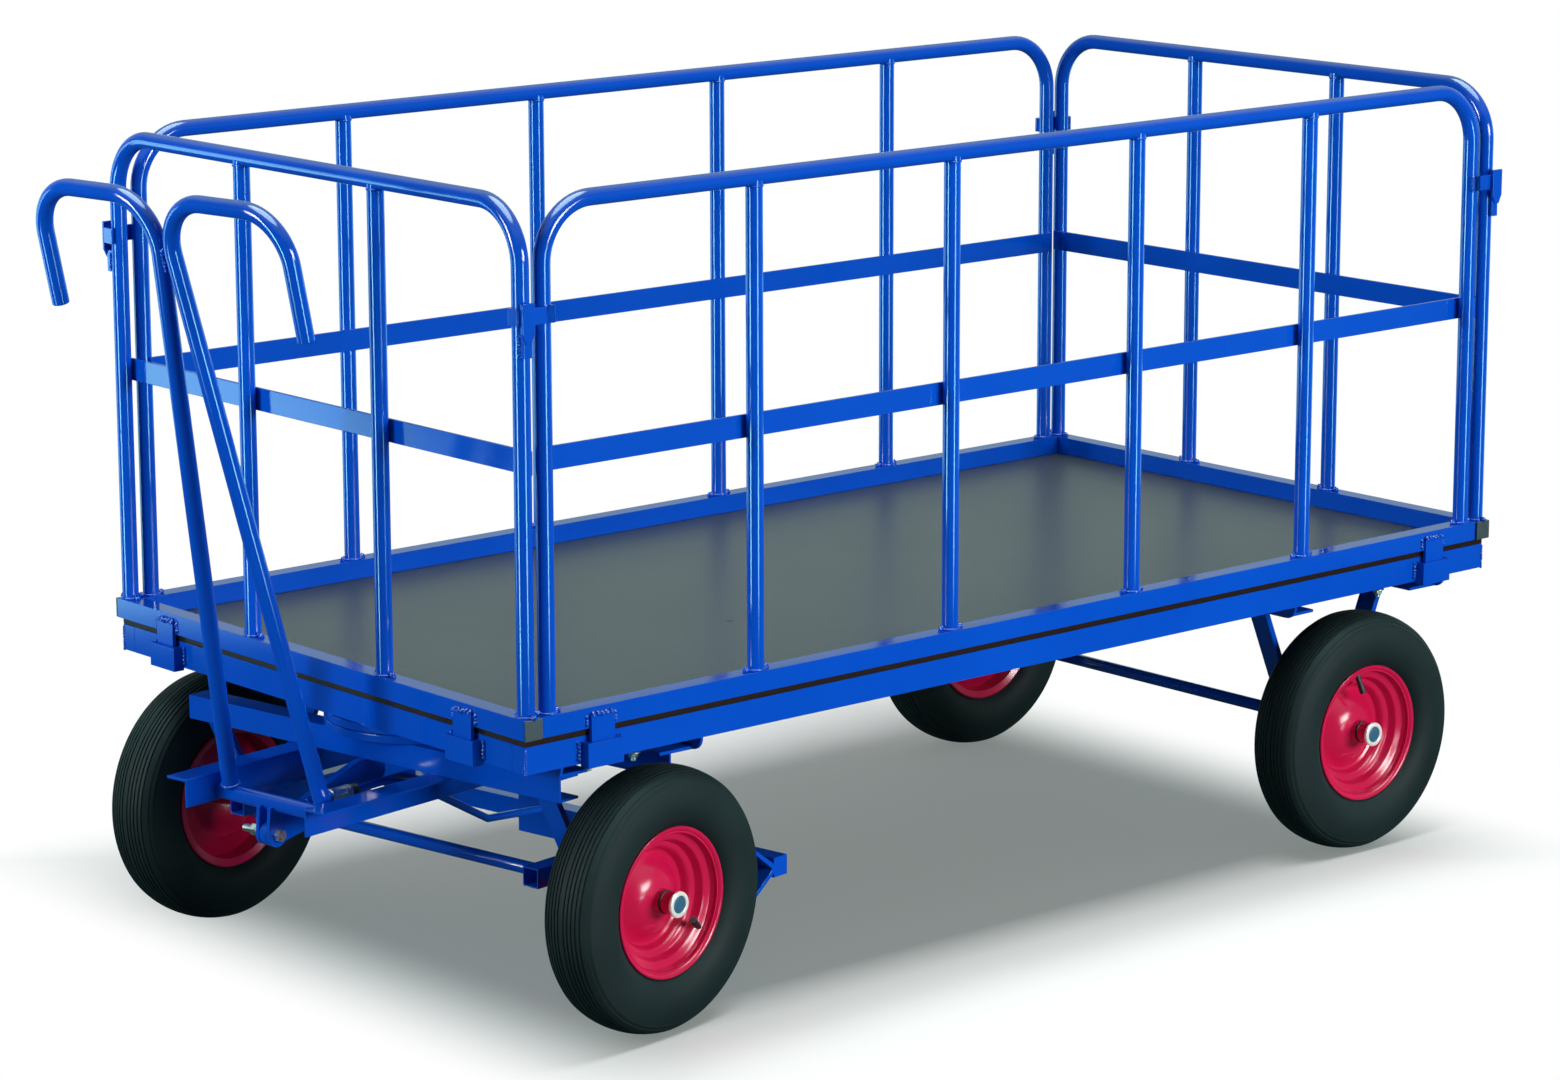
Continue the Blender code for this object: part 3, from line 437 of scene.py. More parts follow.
def latch_hook(outward, end):
    near = strap_y + strap_thickness + hook_gap
    top = latch_z + latch_height
    x = x_span(end, end_post_x - 0.007, end_post_x + 0.015)
    y = y_span(outward, near, near + hook_thickness)
    alone()
    bpy.ops.mesh.primitive_cube_add(
        size=1.0, location=((x[0] + x[1]) / 2, (y[0] + y[1]) / 2, (latch_neck + top) / 2)
    )
    fin = bpy.context.object
    fin.dimensions = (x[1] - x[0], hook_thickness, top - latch_neck)
    bpy.ops.object.transform_apply(location=True, rotation=True, scale=True)
    bpy.ops.object.mode_set(mode="EDIT")
    bpy.ops.mesh.select_mode(type="FACE")
    bpy.ops.mesh.select_all(action="DESELECT")
    bpy.ops.object.mode_set(mode="OBJECT")
    for face in fin.data.polygons:
        face.select = face.normal.z < -0.9
    bpy.ops.object.mode_set(mode="EDIT")
    run((0, 0, -0.014))
    bpy.ops.transform.resize(value=(0.4, 1, 1))
    bpy.ops.mesh.select_all(action="SELECT")
    bpy.ops.mesh.bevel(offset=0.0009, segments=3, affect="EDGES")
    bpy.ops.mesh.select_mode(type="VERT")
    bpy.ops.object.mode_set(mode="OBJECT")
    flat_shaded(fin)
    x = x_span(end, end_post_x - 0.004, end_post_x + 0.010)
    y = y_span(outward, side_post_y + post_radius / 4, near + 0.001)
    tail = flat_block("tail", (x[0], y[0], latch_z), (x[1], y[1], latch_neck - 0.002), 0.001)
    x = bed_x + end * (end_post_x + 0.010)
    y = outward * (side_post_y + post_radius * 0.75)
    weld = seam((x, y, latch_z + 0.002), (x, y, latch_neck - 0.006), 0.0028, 83)
    return [fin, tail, weld]


for wall, outward in (("left", 1), ("right", -1)):
    parts = hoop(f"{wall}_wall", "x", outward * side_post_y, side_post_x, 5)
    parts += latch_strap(outward, 1) + latch_strap(outward, -1)
    piece = joined(f"{wall}_wall_hoop", parts)
    dressed(piece, blue_enamel, f"{wall}_wall", "blue_enamel", f"{wall}_wall_frame")
for wall, end in (("front", 1), ("rear", -1)):
    parts = hoop(f"{wall}_wall", "y", end * end_post_x, side_post_y, 3)
    parts += latch_hook(1, end) + latch_hook(-1, end)
    piece = joined(f"{wall}_wall_hoop", parts)
    dressed(piece, blue_enamel, "bed", "blue_enamel", f"{wall}_wall_frame")


# Wall sills and middle rails
# The sill is a square tube with two plate tabs welded to its outer face, which drop into the rim's
# pockets. The flat middle rail is tacked to the inner side of the posts.
sill_edge = 0.0020
mid_rail_edge = 0.0009
bed_half_length = 1.0
bed_half_width = 0.5
side_tab_x = 0.870
end_tab_y = 0.370
tab_weld_half = 0.020
tab_half = 0.0255
tab_weld_z = deck_top + 0.0183


def outside(wall, along, out, z):
    """A point beside a wall: so far along it and so far out, both from the middle of the bed."""
    sign = 1 if wall in ("left", "front") else -1
    if wall in ("left", "right"):
        return (bed_x + along, sign * out, z)
    return (bed_x + sign * out, along, z)


for wall in ("left", "right", "front", "rear"):
    softened(f"{wall}_wall_sill", sill_edge, blue_enamel)
    softened(f"{wall}_wall_mid_rail", mid_rail_edge, blue_enamel)
for wall in ("left", "right", "front", "rear"):
    on_side = wall in ("left", "right")
    tab_middle = side_tab_x if on_side else end_tab_y
    half_bed = bed_half_width if on_side else bed_half_length
    beads = []
    for middle in (tab_middle, -tab_middle):
        start = outside(wall, middle - tab_weld_half, half_bed + 0.0085, tab_weld_z + 0.001)
        end = outside(wall, middle + tab_weld_half, half_bed + 0.0085, tab_weld_z + 0.001)
        beads.append(seam(start, end, 0.0046, 7))
        for edge in (tab_half, -tab_half):
            start = outside(wall, middle + edge, half_bed + 0.0056, tab_weld_z - 0.014)
            end = outside(wall, middle + edge, half_bed + 0.0056, tab_weld_z)
            beads.append(seam(start, end, 0.0038, 11))
    body = f"{wall}_wall" if on_side else "bed"
    dressed(joined(f"{wall}_tab_welds", beads), blue_enamel, body, "blue_enamel")


# Rim welds
# The four rims meet in corners that are welded from bottom to top. Each tab pocket is welded to
# its rim down both sides, and the ripples show through the enamel.
rim_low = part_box("side_rim_left")[0].z
corner_low = rim_low + 0.003
corner_high = deck_low.z - 0.003
pocket_low = corner_low + 0.006
pocket_high = corner_high - 0.004
pocket_half = 0.0365
corner_weld = 0.0024
pocket_weld = 0.0036
lines = []
for outward in (1, -1):
    for end in (1, -1):
        x, y = bed_x + end * (bed_half_length - 0.0007), outward * (bed_half_width - 0.0007)
        lines.append(seam((x, y, corner_low), (x, y, corner_high), corner_weld, 37))
        for edge in (pocket_half, -pocket_half):
            x, y = bed_x + end * side_tab_x + edge, outward * (bed_half_width + 0.0008)
            lines.append(seam((x, y, pocket_low), (x, y, pocket_high), pocket_weld, 41))
            x, y = bed_x + end * (bed_half_length + 0.0008), outward * end_tab_y + edge
            lines.append(seam((x, y, pocket_low), (x, y, pocket_high), pocket_weld, 43))
dressed(joined("rim_welds", lines), blue_enamel, "bed", "blue_enamel")


# Sill plugs
# Square moulded plugs pressed into the open ends of the front and rear sills, dark grey with a
# faint mould texture.
plug_edge = 0.0012
plug_plastic, place, shader = new_finish("plug_plastic")
stipple = cloud(place, 900.0, 2.0)
feed(blend_of(stipple, (0.020, 0.040, 0.048, 1), (0.032, 0.056, 0.066, 1)), shader, "Base Color")
feed(0.42 + stipple * 0.15, shader, "Roughness")
feed(relief(stipple, 0.2, 0.0002), shader, "Normal")
for plug in ("front_plug_left", "front_plug_right", "rear_plug_left", "rear_plug_right"):
    softened(plug, plug_edge, plug_plastic)


# Wheels
# A ribbed black tyre on a pressed red rim. The rim steps down twice into a dish that rises again
# to the hub tube, and a zinc ring with a plastic disc closes the axle end.
tyre_rubber, place, shader = new_finish("tyre_rubber", Specular_IOR_Level=0.16)
bloom = cloud(place, 9.0, 4.0)
grit = cloud(place, 800.0, 2.0)
feed(blend_of(bloom, (0.0046, 0.0118, 0.0124, 1), (0.0100, 0.0225, 0.0232, 1)), shader, "Base Color")
feed(0.48 + bloom * 0.18 + grit * 0.05, shader, "Roughness")
feed(relief(grit, 0.18, 0.0003), shader, "Normal")

red_enamel, place, shader = new_finish("red_enamel", Specular_IOR_Level=0.45)
peel = cloud(place, 380.0, 2.0)
drift = cloud(place, 12.0)
feed(blend_of(drift, (0.500, 0.0040, 0.050, 1), (0.580, 0.0080, 0.078, 1)), shader, "Base Color")
feed(0.15 + drift * 0.10, shader, "Roughness")
feed(relief(peel, 0.08, 0.0003), shader, "Normal")

zinc_plate, place, shader = new_finish("zinc_plate", Metallic=1.0)
bright = cloud(place, 160.0)
feed(blend_of(bright, (0.52, 0.53, 0.50, 1), (0.74, 0.76, 0.72, 1)), shader, "Base Color")
feed(0.20 + bright * 0.22, shader, "Roughness")
feed(relief(bright, 0.12, 0.0003), shader, "Normal")

cap_plastic, place, shader = new_finish("cap_plastic")
stipple = cloud(place, 700.0, 2.0)
feed(blend_of(stipple, (0.016, 0.090, 0.170, 1), (0.026, 0.120, 0.215, 1)), shader, "Base Color")
feed(0.35 + stipple * 0.15, shader, "Roughness")

cap_zinc, place, shader = new_finish("cap_zinc", Metallic=0.3)
bright = cloud(place, 260.0)
feed(blend_of(bright, (0.78, 0.79, 0.74, 1), (0.97, 0.98, 0.95, 1)), shader, "Base Color")
feed(0.24 + bright * 0.18, shader, "Roughness")
feed(relief(bright, 0.10, 0.0003), shader, "Normal")

valve_rubber, place, shader = new_finish("valve_rubber")
grit = cloud(place, 600.0, 2.0)
feed(blend_of(grit, (0.006, 0.007, 0.010, 1), (0.016, 0.018, 0.024, 1)), shader, "Base Color")
feed(0.40 + grit * 0.2, shader, "Roughness")


def turned_ring(name, profile, sides):
    """A closed section of (radius, along) drawn round the Y axis, ring by ring."""
    radius, along = profile[0]
    tube_from(name, (0, along, 0), radius, (math.pi / 2, 0, 0), sides)
    for next_radius, next_along in profile[1:] + profile[:1]:
        run((0, next_along - along, 0))
        share = next_radius / radius
        bpy.ops.transform.resize(value=(share, 1, share), center_override=(0, next_along, 0))
        radius, along = next_radius, next_along
    bpy.ops.mesh.select_all(action="SELECT")
    bpy.ops.mesh.remove_doubles(threshold=0.00001)
    bpy.ops.mesh.normals_make_consistent(inside=False)
    bpy.ops.object.mode_set(mode="OBJECT")
    bpy.ops.object.shade_smooth_by_angle(angle=math.radians(32))
    return bpy.context.object


def swell(step, share):
    """Runs a ring on along one axis and makes it wider or narrower there."""
    run(step)
    bpy.ops.transform.resize(value=[1 if part else share for part in step])


def put(piece, matrix):
    """Moves a finished piece to its place, with the place kept in its mesh."""
    alone()
    piece.select_set(True)
    bpy.context.view_layer.objects.active = piece
    piece.matrix_world = matrix @ piece.matrix_world
    bpy.ops.object.transform_apply(location=True, rotation=True, scale=True)
    return piece


def copied(pattern, name, matrix):
    """Another of a piece, with a mesh of its own, put in its place."""
    another = pattern.copy()
    another.data = pattern.data.copy()
    another.name = name
    bpy.context.scene.collection.objects.link(another)
    return put(another, matrix)


def tyre_section():
    """The tread with its grooves and one side down to the bead, then the other side."""
    crown, crown_drop, tread_half = 0.1963, 0.0062, 0.035
    first_groove, groove_pitch, groove_depth = 0.0052, 0.0066, 0.0028
    tread = [(0.0, 0.0)]
    for number in range(5):
        groove = first_groove + groove_pitch * number
        tread += [(groove - 0.0011, 0.0), (groove - 0.0005, groove_depth)]
        tread += [(groove + 0.0005, groove_depth), (groove + 0.0011, 0.0)]
    half = []
    for along, depth in tread:
        half.append((crown - crown_drop * (along / tread_half) ** 2.2 - depth, along))
    half += [
        (0.1870, 0.0385), (0.1852, 0.0402), (0.1836, 0.0402), (0.1810, 0.0430), (0.1794, 0.0440),
        (0.1780, 0.0439), (0.1730, 0.0464), (0.1716, 0.0466), (0.1640, 0.0488), (0.1540, 0.0499),
        (0.1440, 0.0497), (0.1340, 0.0480), (0.1260, 0.0450), (0.1200, 0.0412), (0.1160, 0.0378),
        (0.1128, 0.0338), (0.1050, 0.0328),
    ]
    return half + [(radius, -along) for radius, along in reversed(half[1:])]


rim_section = [
    (0.1116, 0.0350), (0.1118, 0.0366), (0.1108, 0.0378), (0.1090, 0.0378), (0.1064, 0.0362),
    (0.1040, 0.0330), (0.1010, 0.0250), (0.0996, 0.0222), (0.0965, 0.0205), (0.0925, 0.0195),
    (0.0895, 0.0178), (0.0875, 0.0140), (0.0862, 0.0080), (0.0845, 0.0055), (0.0810, 0.0042),
    (0.0775, 0.0034), (0.0748, 0.0010), (0.0730, -0.0050), (0.0706, -0.0092), (0.0668, -0.0110),
    (0.0620, -0.0096), (0.0560, -0.0046), (0.0490, 0.0018), (0.0420, 0.0072), (0.0350, 0.0112),
    (0.0280, 0.0136), (0.0215, 0.0148), (0.0184, 0.0156), (0.0172, 0.0175), (0.0170, 0.0300),
    (0.0170, 0.0455), (0.0162, 0.0462), (0.0107, 0.0462), (0.0107, -0.0462), (0.0170, -0.0462),
    (0.0170, 0.0100), (0.0350, 0.0080), (0.0560, -0.0078), (0.0668, -0.0142), (0.0740, -0.0110),
    (0.0900, -0.0060), (0.0990, -0.0050), (0.0990, -0.0340), (0.1090, -0.0376), (0.1116, -0.0366),
    (0.1112, -0.0342), (0.1024, -0.0340), (0.1020, 0.0336), (0.1112, 0.0340),
]
cap_section = [
    (0.0168, 0.0465), (0.0190, 0.0470), (0.0196, 0.0498), (0.0188, 0.0518), (0.0174, 0.0524),
    (0.0140, 0.0524), (0.0131, 0.0518), (0.0128, 0.0506), (0.0128, 0.0465),
]
disc_section = [
    (0.0125, 0.0466), (0.0125, 0.0506), (0.0116, 0.0512), (0.0060, 0.0515), (0.00001, 0.0516),
    (0.00001, 0.0466),
]
seal_section = [(0.0171, 0.0250), (0.0181, 0.0254), (0.0181, 0.0292), (0.0171, 0.0296)]


def valve_stem():
    """The tyre's rubber valve: a stem out of the rim's well with a cap on it, leaning outwards."""
    tube_from("valve", (0, 0, 0), 0.0062, sides=20)
    steps = (
        (0.003, 0.86), (0.004, 0.84), (0.012, 1.0), (0.0008, 1.16), (0.013, 1.0), (0.0012, 0.84),
    )
    for rise, share in steps:
        swell((0, 0, rise), share)
    stem = closed()
    outward_lean = Matrix.Rotation(math.radians(24), 4, "X")
    inward = Matrix.Rotation(math.pi, 4, "X")
    return put(stem, Matrix.Translation((0, 0.0165, 0.0965)) @ outward_lean @ inward)


wheel_y = 0.452
steer = Matrix.Rotation(math.radians(8.84), 4, "Z")
axle_low, axle_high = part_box("rear_axle")
axle_z = (axle_low.z + axle_high.z) / 2
front_place = Matrix.Translation((bed_x + 0.80, 0, 0)) @ steer
rear_place = Matrix.Translation((bed_x - 0.743, 0, 0))
wheel_spots = (
    ("front_left", front_place, wheel_y, 126), ("front_right", front_place, -wheel_y, 60),
    ("rear_left", rear_place, wheel_y, -4), ("rear_right", rear_place, -wheel_y, 200),
)
wheel_patterns = (
    (turned_ring("ribbed_tyre", tyre_section(), 112), tyre_rubber, "tyre", "tyre"),
    (turned_ring("pressed_rim", rim_section, 96), red_enamel, "red_enamel", "rim"),
    (turned_ring("cap_ring", cap_section, 48), cap_zinc, "zinc", "cap"),
    (turned_ring("cap_disc", disc_section, 40), cap_plastic, "grey_plastic", None),
    (turned_ring("hub_seal", seal_section, 48), valve_rubber, "grey_plastic", None),
    (valve_stem(), valve_rubber, "grey_plastic", None),
)
for wheel, carrier, side, valve_angle in wheel_spots:
    hub_place = carrier @ Matrix.Translation((0, side, axle_z))
    if side < 0:
        hub_place = hub_place @ Matrix.Rotation(math.pi, 4, "Z")
    hub_place = hub_place @ Matrix.Rotation(math.radians(-valve_angle), 4, "Y")
    for pattern, finish, slot, node in wheel_patterns:
        piece = copied(pattern, f"{wheel}_{pattern.name}", hub_place)
        stands_for = [f"{wheel}_{node}"] if node else []
        dressed(piece, finish, f"{wheel}_wheel", slot, *stands_for)
for pattern, *rest in wheel_patterns:
    bpy.data.objects.remove(pattern)


# Axles and brackets
# A round steel axle through two V brackets of flat bar, welded under the bolsters in front and
# under the cross members behind.
axle_half = 0.497
axle_end_radius = 0.0092
axle_nip = 0.001
bracket_edge = 0.0011
for end, carrier, body in (("front", front_place, "turntable"), ("rear", rear_place, "bed")):
    tube_from(f"{end}_axle_bar", (0, -axle_half, 0), axle_end_radius, (math.pi / 2, 0, 0))
    swell((0, axle_nip, 0), 1.087)
    run((0, 2 * (axle_half - axle_nip), 0))
    swell((0, axle_nip, 0), 0.92)
    bar = put(closed(), carrier @ Matrix.Translation((0, 0, axle_z)))
    dressed(bar, blue_enamel, body, "blue_enamel", f"{end}_axle")
    for side in ("left", "right"):
        softened(f"{end}_bracket_{side}", bracket_edge, blue_enamel)


# Turntable
# Two plates on a zinc kingpin. The lower one carries two channel bolsters, two angle arms that
# run forward, and the tongue whose eye takes the drawbar.
plate_edge = 0.0012
channel_edge = 0.0010
pin_edge = 0.0008
weld_half = 0.016
for part in ("turntable_upper_plate", "turntable_lower_plate"):
    softened(part, plate_edge, blue_enamel)
for part in ("bolster_front", "bolster_rear", "arm_left", "arm_right", "drawbar_tongue"):
    softened(part, channel_edge, blue_enamel)
softened("kingpin", pin_edge, zinc_plate)
bolster_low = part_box("bolster_front")[0].z
arm_welds = [(x, y) for x in (0.082, 0.118, -0.082, -0.118) for y in (0.125, -0.125)]
bracket_welds = [(x, y) for y in (0.3415, -0.3415) for x in (0.105, -0.105)]
welds = []
for spots, drop, thickness, seed in (
    (arm_welds, 0.0005, 0.0026, 17), (bracket_welds, 0.0015, 0.0028, 19),
):
    for x, y in spots:
        start = Vector((x, y - weld_half, bolster_low - drop))
        welds.append(seam(start, start + Vector((0, 2 * weld_half, 0)), thickness, seed))
piece = put(joined("turntable_welds", welds), front_place)
dressed(piece, blue_enamel, "turntable", "blue_enamel")


# Parking brake
# A square bar behind the front tyres with a folded shoe at each end, carried by two square tubes.
# An enamelled rod pulls it, with a grooved zinc sleeve and a ribbed rubber boot on it.
bar_edge = 0.0020
rod_edge = 0.0006
hinge_z = bolster_low - 0.074
rod_y = 0.030
rod_z = hinge_z + 0.046
sleeve_steps = (
    (0.0012, 1.16), (0.010, 1.0), (0.0008, 0.94), (0.0012, 1.0), (0.0008, 1.064), (0.026, 1.0),
    (0.0012, 0.86),
)
boot_steps = ((0.003, 1.25), (0.003, 0.86), (0.003, 1.16), (0.003, 0.9), (0.0018, 1.1))
for part in ("brake_bar", "brake_tube_left", "brake_tube_right"):
    softened(part, bar_edge, blue_enamel)
softened("brake_rod", rod_edge, blue_enamel)
for name, start, radius, sides, steps, finish, slot in (
    ("brake_sleeve", 0.1895, 0.0092, 32, sleeve_steps, zinc_plate, "zinc"),
    ("brake_boot", 0.1755, 0.0078, 28, boot_steps, valve_rubber, "grey_plastic"),
):
    tube_from(name, (start, rod_y, rod_z), radius, (0, math.pi / 2, 0), sides)
    for step, share in steps:
        swell((step, 0, 0), share)
    dressed(put(closed(), front_place), finish, "brake", slot)


# Drawbar
# Two round tubes rise from a short cross tube, lean together and bend over into hooked grips. The
# cross tube's two lugs swing on a zinc bolt through the tongue.
stand_back = math.radians(12.6)
tube_radius = 0.0125
tube_x = -0.014
foot_y = 0.097
foot_z = 0.044
meet_y = tube_radius + 0.0008
grip_y = 0.248
grip_bend = 0.075
grip_length = 0.105
top = 0.969
bend_z = top - grip_bend
tack_weld = 0.0036
cross_tube_edge = 0.0014
hinge_bolt_edge = 0.0007
hinge_place = front_place @ Matrix.Translation((0.308, 0, hinge_z))
drawbar_place = hinge_place @ Matrix.Rotation(stand_back, 4, "Y")
tilt = math.atan2(foot_y - meet_y, top - grip_bend * 1.1 - foot_z)
for side, name in ((1, "left"), (-1, "right")):
    centre = Vector((tube_x, side * (meet_y + grip_bend), bend_z))
    bend_start = centre + grip_bend * Vector((0, -side * math.cos(tilt), -math.sin(tilt)))
    rise = Vector((0, -side * math.sin(tilt), math.cos(tilt)))
    foot = Vector((tube_x, side * foot_y, foot_z))
    foot = bend_start - rise * ((bend_start - foot).dot(rise) - 0.0105)
    tube_from(f"drawbar_tube_{name}", foot, tube_radius, (side * tilt, 0, 0))
    run(bend_start - foot)
    bend(centre, (side, 0, 0), math.pi / 2 + tilt, 22)
    run((0, side * (grip_y - 2 * grip_bend - meet_y), 0))
    bend((tube_x, side * (grip_y - grip_bend), bend_z), (side, 0, 0), math.pi / 2, 18)
    run((0, 0, -grip_length))
    swell((0, 0, -0.001), 0.92)
    tube = closed()
    weld = bead(foot + rise * 0.004, tube_radius + 0.0008, 0.0024, 5, (side * tilt, 0, 0))
    piece = put(joined(f"drawbar_handle_{name}", [tube, weld]), drawbar_place)
    dressed(piece, blue_enamel, "drawbar", "blue_enamel", f"drawbar_tube_{name}")
tacks = []
for x in (tube_x - 0.0075, tube_x + 0.0075):
    tacks.append(seam((x, 0, bend_z - 0.030), (x, 0, bend_z + 0.004), tack_weld, 23))
piece = put(joined("drawbar_tacks", tacks), drawbar_place)
dressed(piece, blue_enamel, "drawbar", "blue_enamel")
softened("drawbar_cross_tube", cross_tube_edge, blue_enamel)
softened("drawbar_bolt", hinge_bolt_edge, zinc_plate)


# Fixing bolts
# Zinc bolts hold the deck: a washer, a nut and the bolt's end show under the rims beside the cross
# members. One dark screw head shows in the deck itself.
bolt_y = 0.482
washer_thickness = 0.0018
nut_low = rim_low - 0.0082
tube_from("washer", (0, 0, rim_low), 0.0100)
run((0, 0, -washer_thickness))
bolt_parts = [closed()]
tube_from("nut", (0, 0, rim_low - washer_thickness), 0.0072, sides=6)
run((0, 0, -0.0058))
swell((0, 0, -0.0008), 0.86)
bolt_parts.append(closed())
tube_from("bolt_end", (0, 0, nut_low), 0.0040, sides=20)
run((0, 0, -0.0048))
swell((0, 0, -0.0010), 0.7)
bolt_parts.append(closed())
bolt = joined("deck_bolt", bolt_parts)
bolts = []
for y in (bolt_y, -bolt_y):
    for x in (0.874, 0.793, -0.767):
        bolts.append(copied(bolt, f"bolt_{len(bolts)}", Matrix.Translation((bed_x + x, y, 0))))
bpy.data.objects.remove(bolt)
dressed(joined("deck_bolts", bolts), zinc_plate, "bed", "zinc")
tube_from("deck_screw", (bed_x + 0.318, 0.135, deck_top - 0.0010), 0.0062, sides=32)
run((0, 0, 0.0013))
swell((0, 0, 0.0002), 0.84)
swell((0, 0, -0.0002), 0.55)
run((0, 0, -0.0009))
dressed(closed(), valve_rubber, "bed", "grey_plastic")


# Studio floor
# A pale seamless floor. Under and round the trailer it keeps the soft grey shadow of the lamp above,
# lifted to an even grey by a fixed share of white glow and tinted faintly green. Its ends and sides
# are painted: a soft-edged rectangle round the bed, past which the floor glows white. Shiny
# surfaces see it dim near the trailer, and look through it further off.
floor_size = 60.0
shadow_grey = 0.225
dim_level = 0.07
dim_start, dim_end = 2.8, 3.6
reflected_tint = (0.42, 0.96, 1.0, 1)
alone()
bpy.ops.mesh.primitive_plane_add(size=floor_size, location=(0, 0, 0))
floor = bpy.context.object
floor.name = "studio_floor"
pale, place, shader = new_finish(
    "pale_floor", Roughness=1.0, Specular_IOR_Level=0.0, Base_Color=(0.38, 0.38, 0.38, 1)
)


def smooth(value, start, end):
    """Rises softly from 0 at the start to 1 at the end."""
    sockets = {0: value, 1: start, 2: end}
    return value.node("ShaderNodeMapRange", {"interpolation_type": "SMOOTHSTEP"}, sockets)


def shader_mix(share, first, second):
    return share.node("ShaderNodeMixShader", None, {0: share, 1: first, 2: second})


def rays(paint):
    """Which rays show the background as it is seen, and which are mirrored in shiny surfaces."""
    camera_ray = paint.node("ShaderNodeLightPath", output="Is Camera Ray")
    glass_ray = paint.node("ShaderNodeLightPath", output="Is Transmission Ray")
    glossy_ray = paint.node("ShaderNodeLightPath", output="Is Glossy Ray")
    return paint.work("MAXIMUM", camera_ray, glass_ray), glossy_ray


# Painted shadow edges: past this soft-edged rectangle round the bed the floor turns to white glow,
# whatever the lamp casts.
beyond_painted_shadow_ends = smooth(abs(axis_of(place, 0) - bed_x), 0.74, 1.08)
beyond_painted_shadow_sides = smooth(abs(axis_of(place, 1) + 0.10), 0.66, 0.92)
far = place.work("MAXIMUM", beyond_painted_shadow_ends, beyond_painted_shadow_sides)
seen, mirrored = rays(place)
# Painted shadow tint: the glow under the trailer is faintly green, turning white further out.
painted_shadow_tint_to_white = blend_of(far, (0.88, 1.0, 0.96, 1), (1, 1, 1, 1))
white = place.node("ShaderNodeEmission", None, {"Color": painted_shadow_tint_to_white, "Strength": 1.0})
paper = place.node("ShaderNodeBsdfDiffuse", None, {"Color": (0.80, 0.80, 0.79, 1)})
# A fixed share of white glow lifts the cast shadow to an even grey: a partly painted shadow.
paper = shader_mix(shadow_grey + (1 - shadow_grey) * far, paper, white)
ends = {0: place, 1: (bed_x, 0, 0)}
reach = place.node("ShaderNodeVectorMath", {"operation": "DISTANCE"}, ends, "Value")
dim = place.node("ShaderNodeEmission", None, {"Color": reflected_tint, "Strength": dim_level})
clear = place.node("ShaderNodeBsdfTransparent")
reflected = shader_mix(smooth(reach, dim_start, dim_end), dim, clear)
lit = shader_mix(seen, Paint(place.tree, shader.outputs[0]), paper)
lit = shader_mix(mirrored, lit, reflected)
place.tree.links.new(lit.socket, pale.node_tree.nodes["Material Output"].inputs["Surface"])
floor.data.materials.append(pale)


# Studio light
# A white surround that shiny tubes mirror as dim, with bright strips below the horizon and a bright
# ceiling. One lamp overhead lights the floor alone, for the shadow, and four more light the trailer.
ambient = 0.16
sky_tint = (0.74, 1.0, 1.0, 1)
lamp_aim = Vector((0, 0, 1.3))
world = bpy.data.worlds.new("studio")
bpy.context.scene.world = world
world.use_nodes = True
facing = Paint(world.node_tree).node("ShaderNodeTexCoord", output="Generated")
upward = axis_of(facing, 2)
level = facing.node("ShaderNodeVectorMath", {"operation": "MULTIPLY"}, {0: facing, 1: (1, 1, 0)})
level = level.node("ShaderNodeVectorMath", {"operation": "NORMALIZE"}, {0: level})


def strip(bearing, half, soft):
    """How far a direction lies inside an upright strip of the surround, from 0 to 1."""
    bearing, half, soft = math.radians(bearing), math.radians(half), math.radians(soft)
    towards = {0: level, 1: (math.cos(bearing), math.sin(bearing), 0)}
    near = level.node("ShaderNodeVectorMath", {"operation": "DOT_PRODUCT"}, towards, "Value")
    return smooth(near, math.cos(half + soft), math.cos(half - soft))


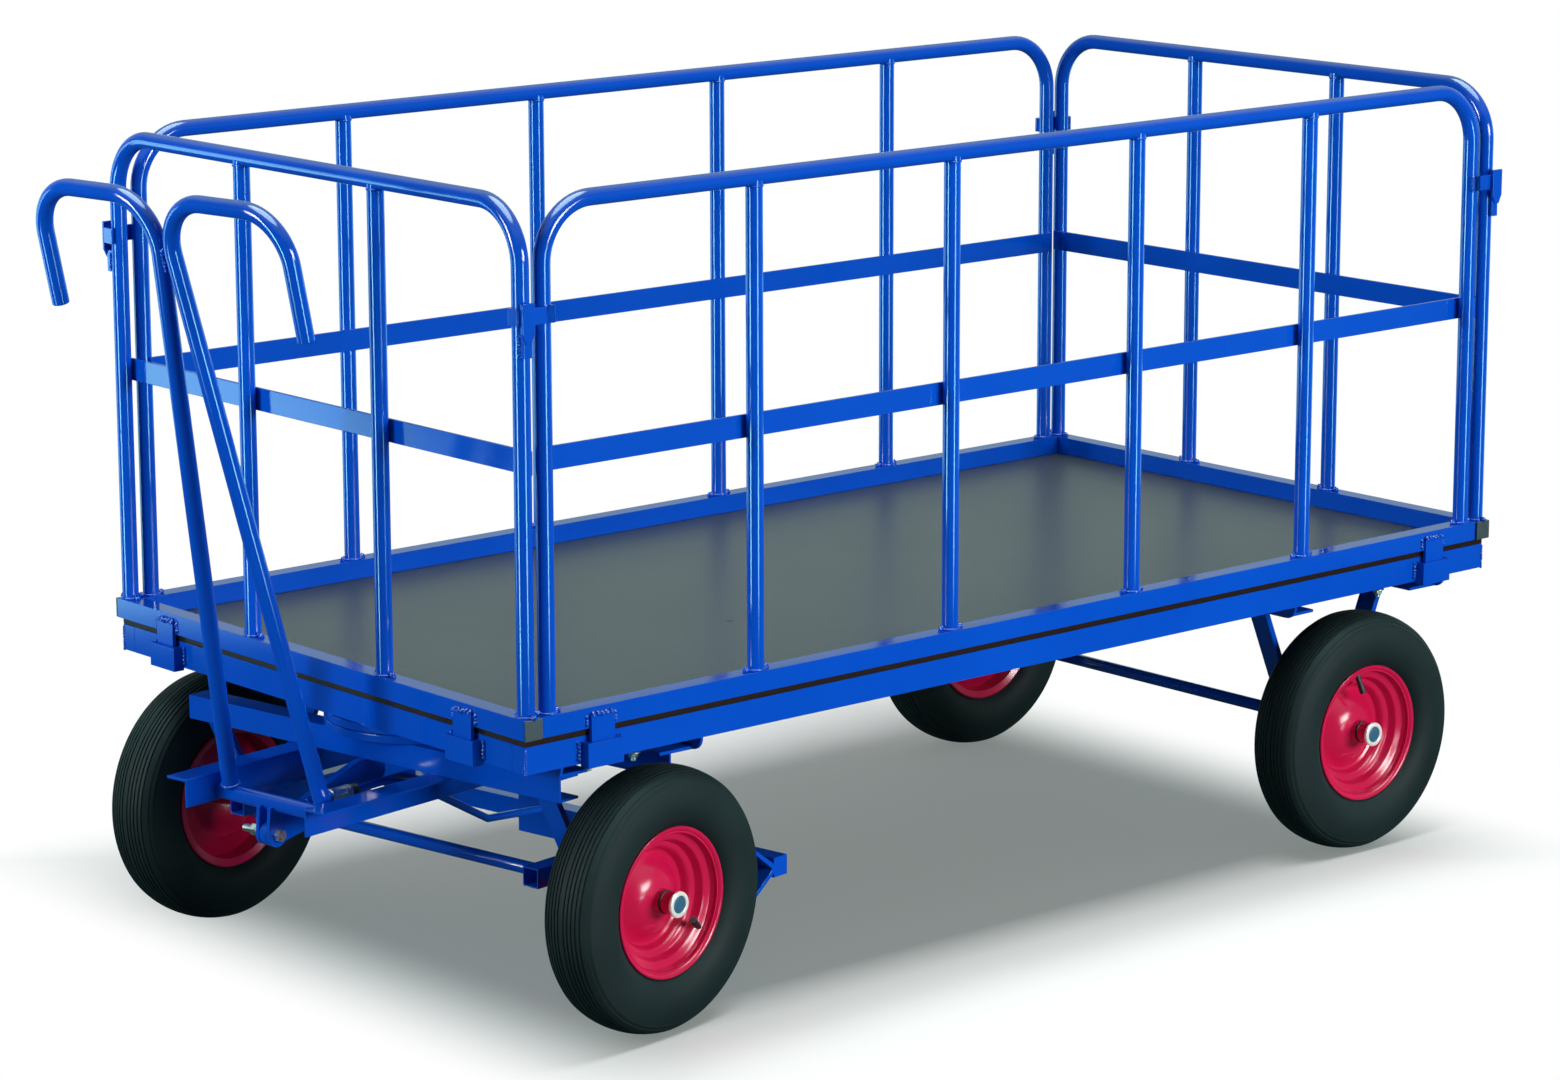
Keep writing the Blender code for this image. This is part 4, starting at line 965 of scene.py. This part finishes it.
ground = smooth(upward, -0.75, -0.40)
below = smooth(upward, 0.04, -0.04)
ceiling = smooth(upward, 0.40, 0.75)
window = smooth(upward, 0.84, 0.92)
strips = 24.0 * strip(-9, 6, 2) + 20.0 * strip(95, 6, 2) + 5.0 * strip(-60, 6, 0.7)
strips = strips + 2.0 * strip(272, 7, 3) + 2.0 * strip(190, 6, 3)
surround = 0.08 + 0.10 * strip(126, 30, 4) + 0.58 * strip(229, 60, 20)
studio = strips * ground * below + surround + 0.8 * ceiling + 12.0 * window
seen, mirrored = rays(facing)
background = world.node_tree.nodes["Background"]
tint = blend_of(mirrored, (1, 1, 1, 1), blend_of(below, sky_tint, reflected_tint))
feed(tint, background, "Color")
feed(ambient + seen * (1 - ambient) + mirrored * (studio - ambient), background, "Strength")
floor_alone = bpy.data.collections.new("floor_alone")
floor_alone.objects.link(floor)
all_but_floor = bpy.data.collections.new("all_but_floor")
all_but_floor.objects.link(floor)
all_but_floor.collection_objects[0].light_linking.link_state = "EXCLUDE"
for name, at, size, power, lights in (
    ("overhead", (bed_x, 0.23, 2.2), (1.4, 1.4), 97.0, floor_alone),
    ("left_lamp", (5.4, -1.2, 1.9), (1.6, 1.6), 27.0, all_but_floor),
    ("right_lamp", (-1.8, 8.4, 2.6), (4.0, 2.4), 95.0, all_but_floor),
    ("far_lamp", (1.8, -7.0, 2.0), (3.0, 2.2), 28.0, all_but_floor),
    ("rear_lamp", (-7.0, 1.2, 2.0), (2.4, 2.2), 20.0, all_but_floor),
):
    bpy.ops.object.light_add(type="AREA", location=at)
    lamp = bpy.context.object
    lamp.name = name
    lamp.data.shape = "RECTANGLE"
    lamp.data.size, lamp.data.size_y = size
    lamp.data.energy = power
    lamp.data.spread = math.radians(180 if lights is floor_alone else 60)
    aim = Vector((at[0], at[1], 0)) if lights is floor_alone else lamp_aim
    lamp.rotation_euler = (aim - Vector(at)).to_track_quat("-Z", "Y").to_euler()
    lamp.light_linking.receiver_collection = lights
    lamp.visible_glossy = name not in ("far_lamp", "rear_lamp")


# Camera
# Its place, turn and lens were solved from the bed, posts and wheels in the picture, with no shift
# of the lens.
camera_place = (4.7522, 5.5425, 2.1558)
yaw, pitch, roll = math.radians(229.013), math.radians(-12.263), math.radians(-0.121)
bpy.ops.object.camera_add(location=camera_place)
camera = bpy.context.object
ahead = Vector((math.cos(pitch) * math.cos(yaw), math.cos(pitch) * math.sin(yaw), math.sin(pitch)))
turned = ahead.to_track_quat("-Z", "Y").to_matrix() @ Matrix.Rotation(roll, 3, "Z")
camera.rotation_euler = turned.to_euler()
camera.data.sensor_width = 36.0
camera.data.lens = 110.082
camera.data.clip_end = 100.0
bpy.context.scene.camera = camera
bpy.context.scene.view_settings.view_transform = "Standard"
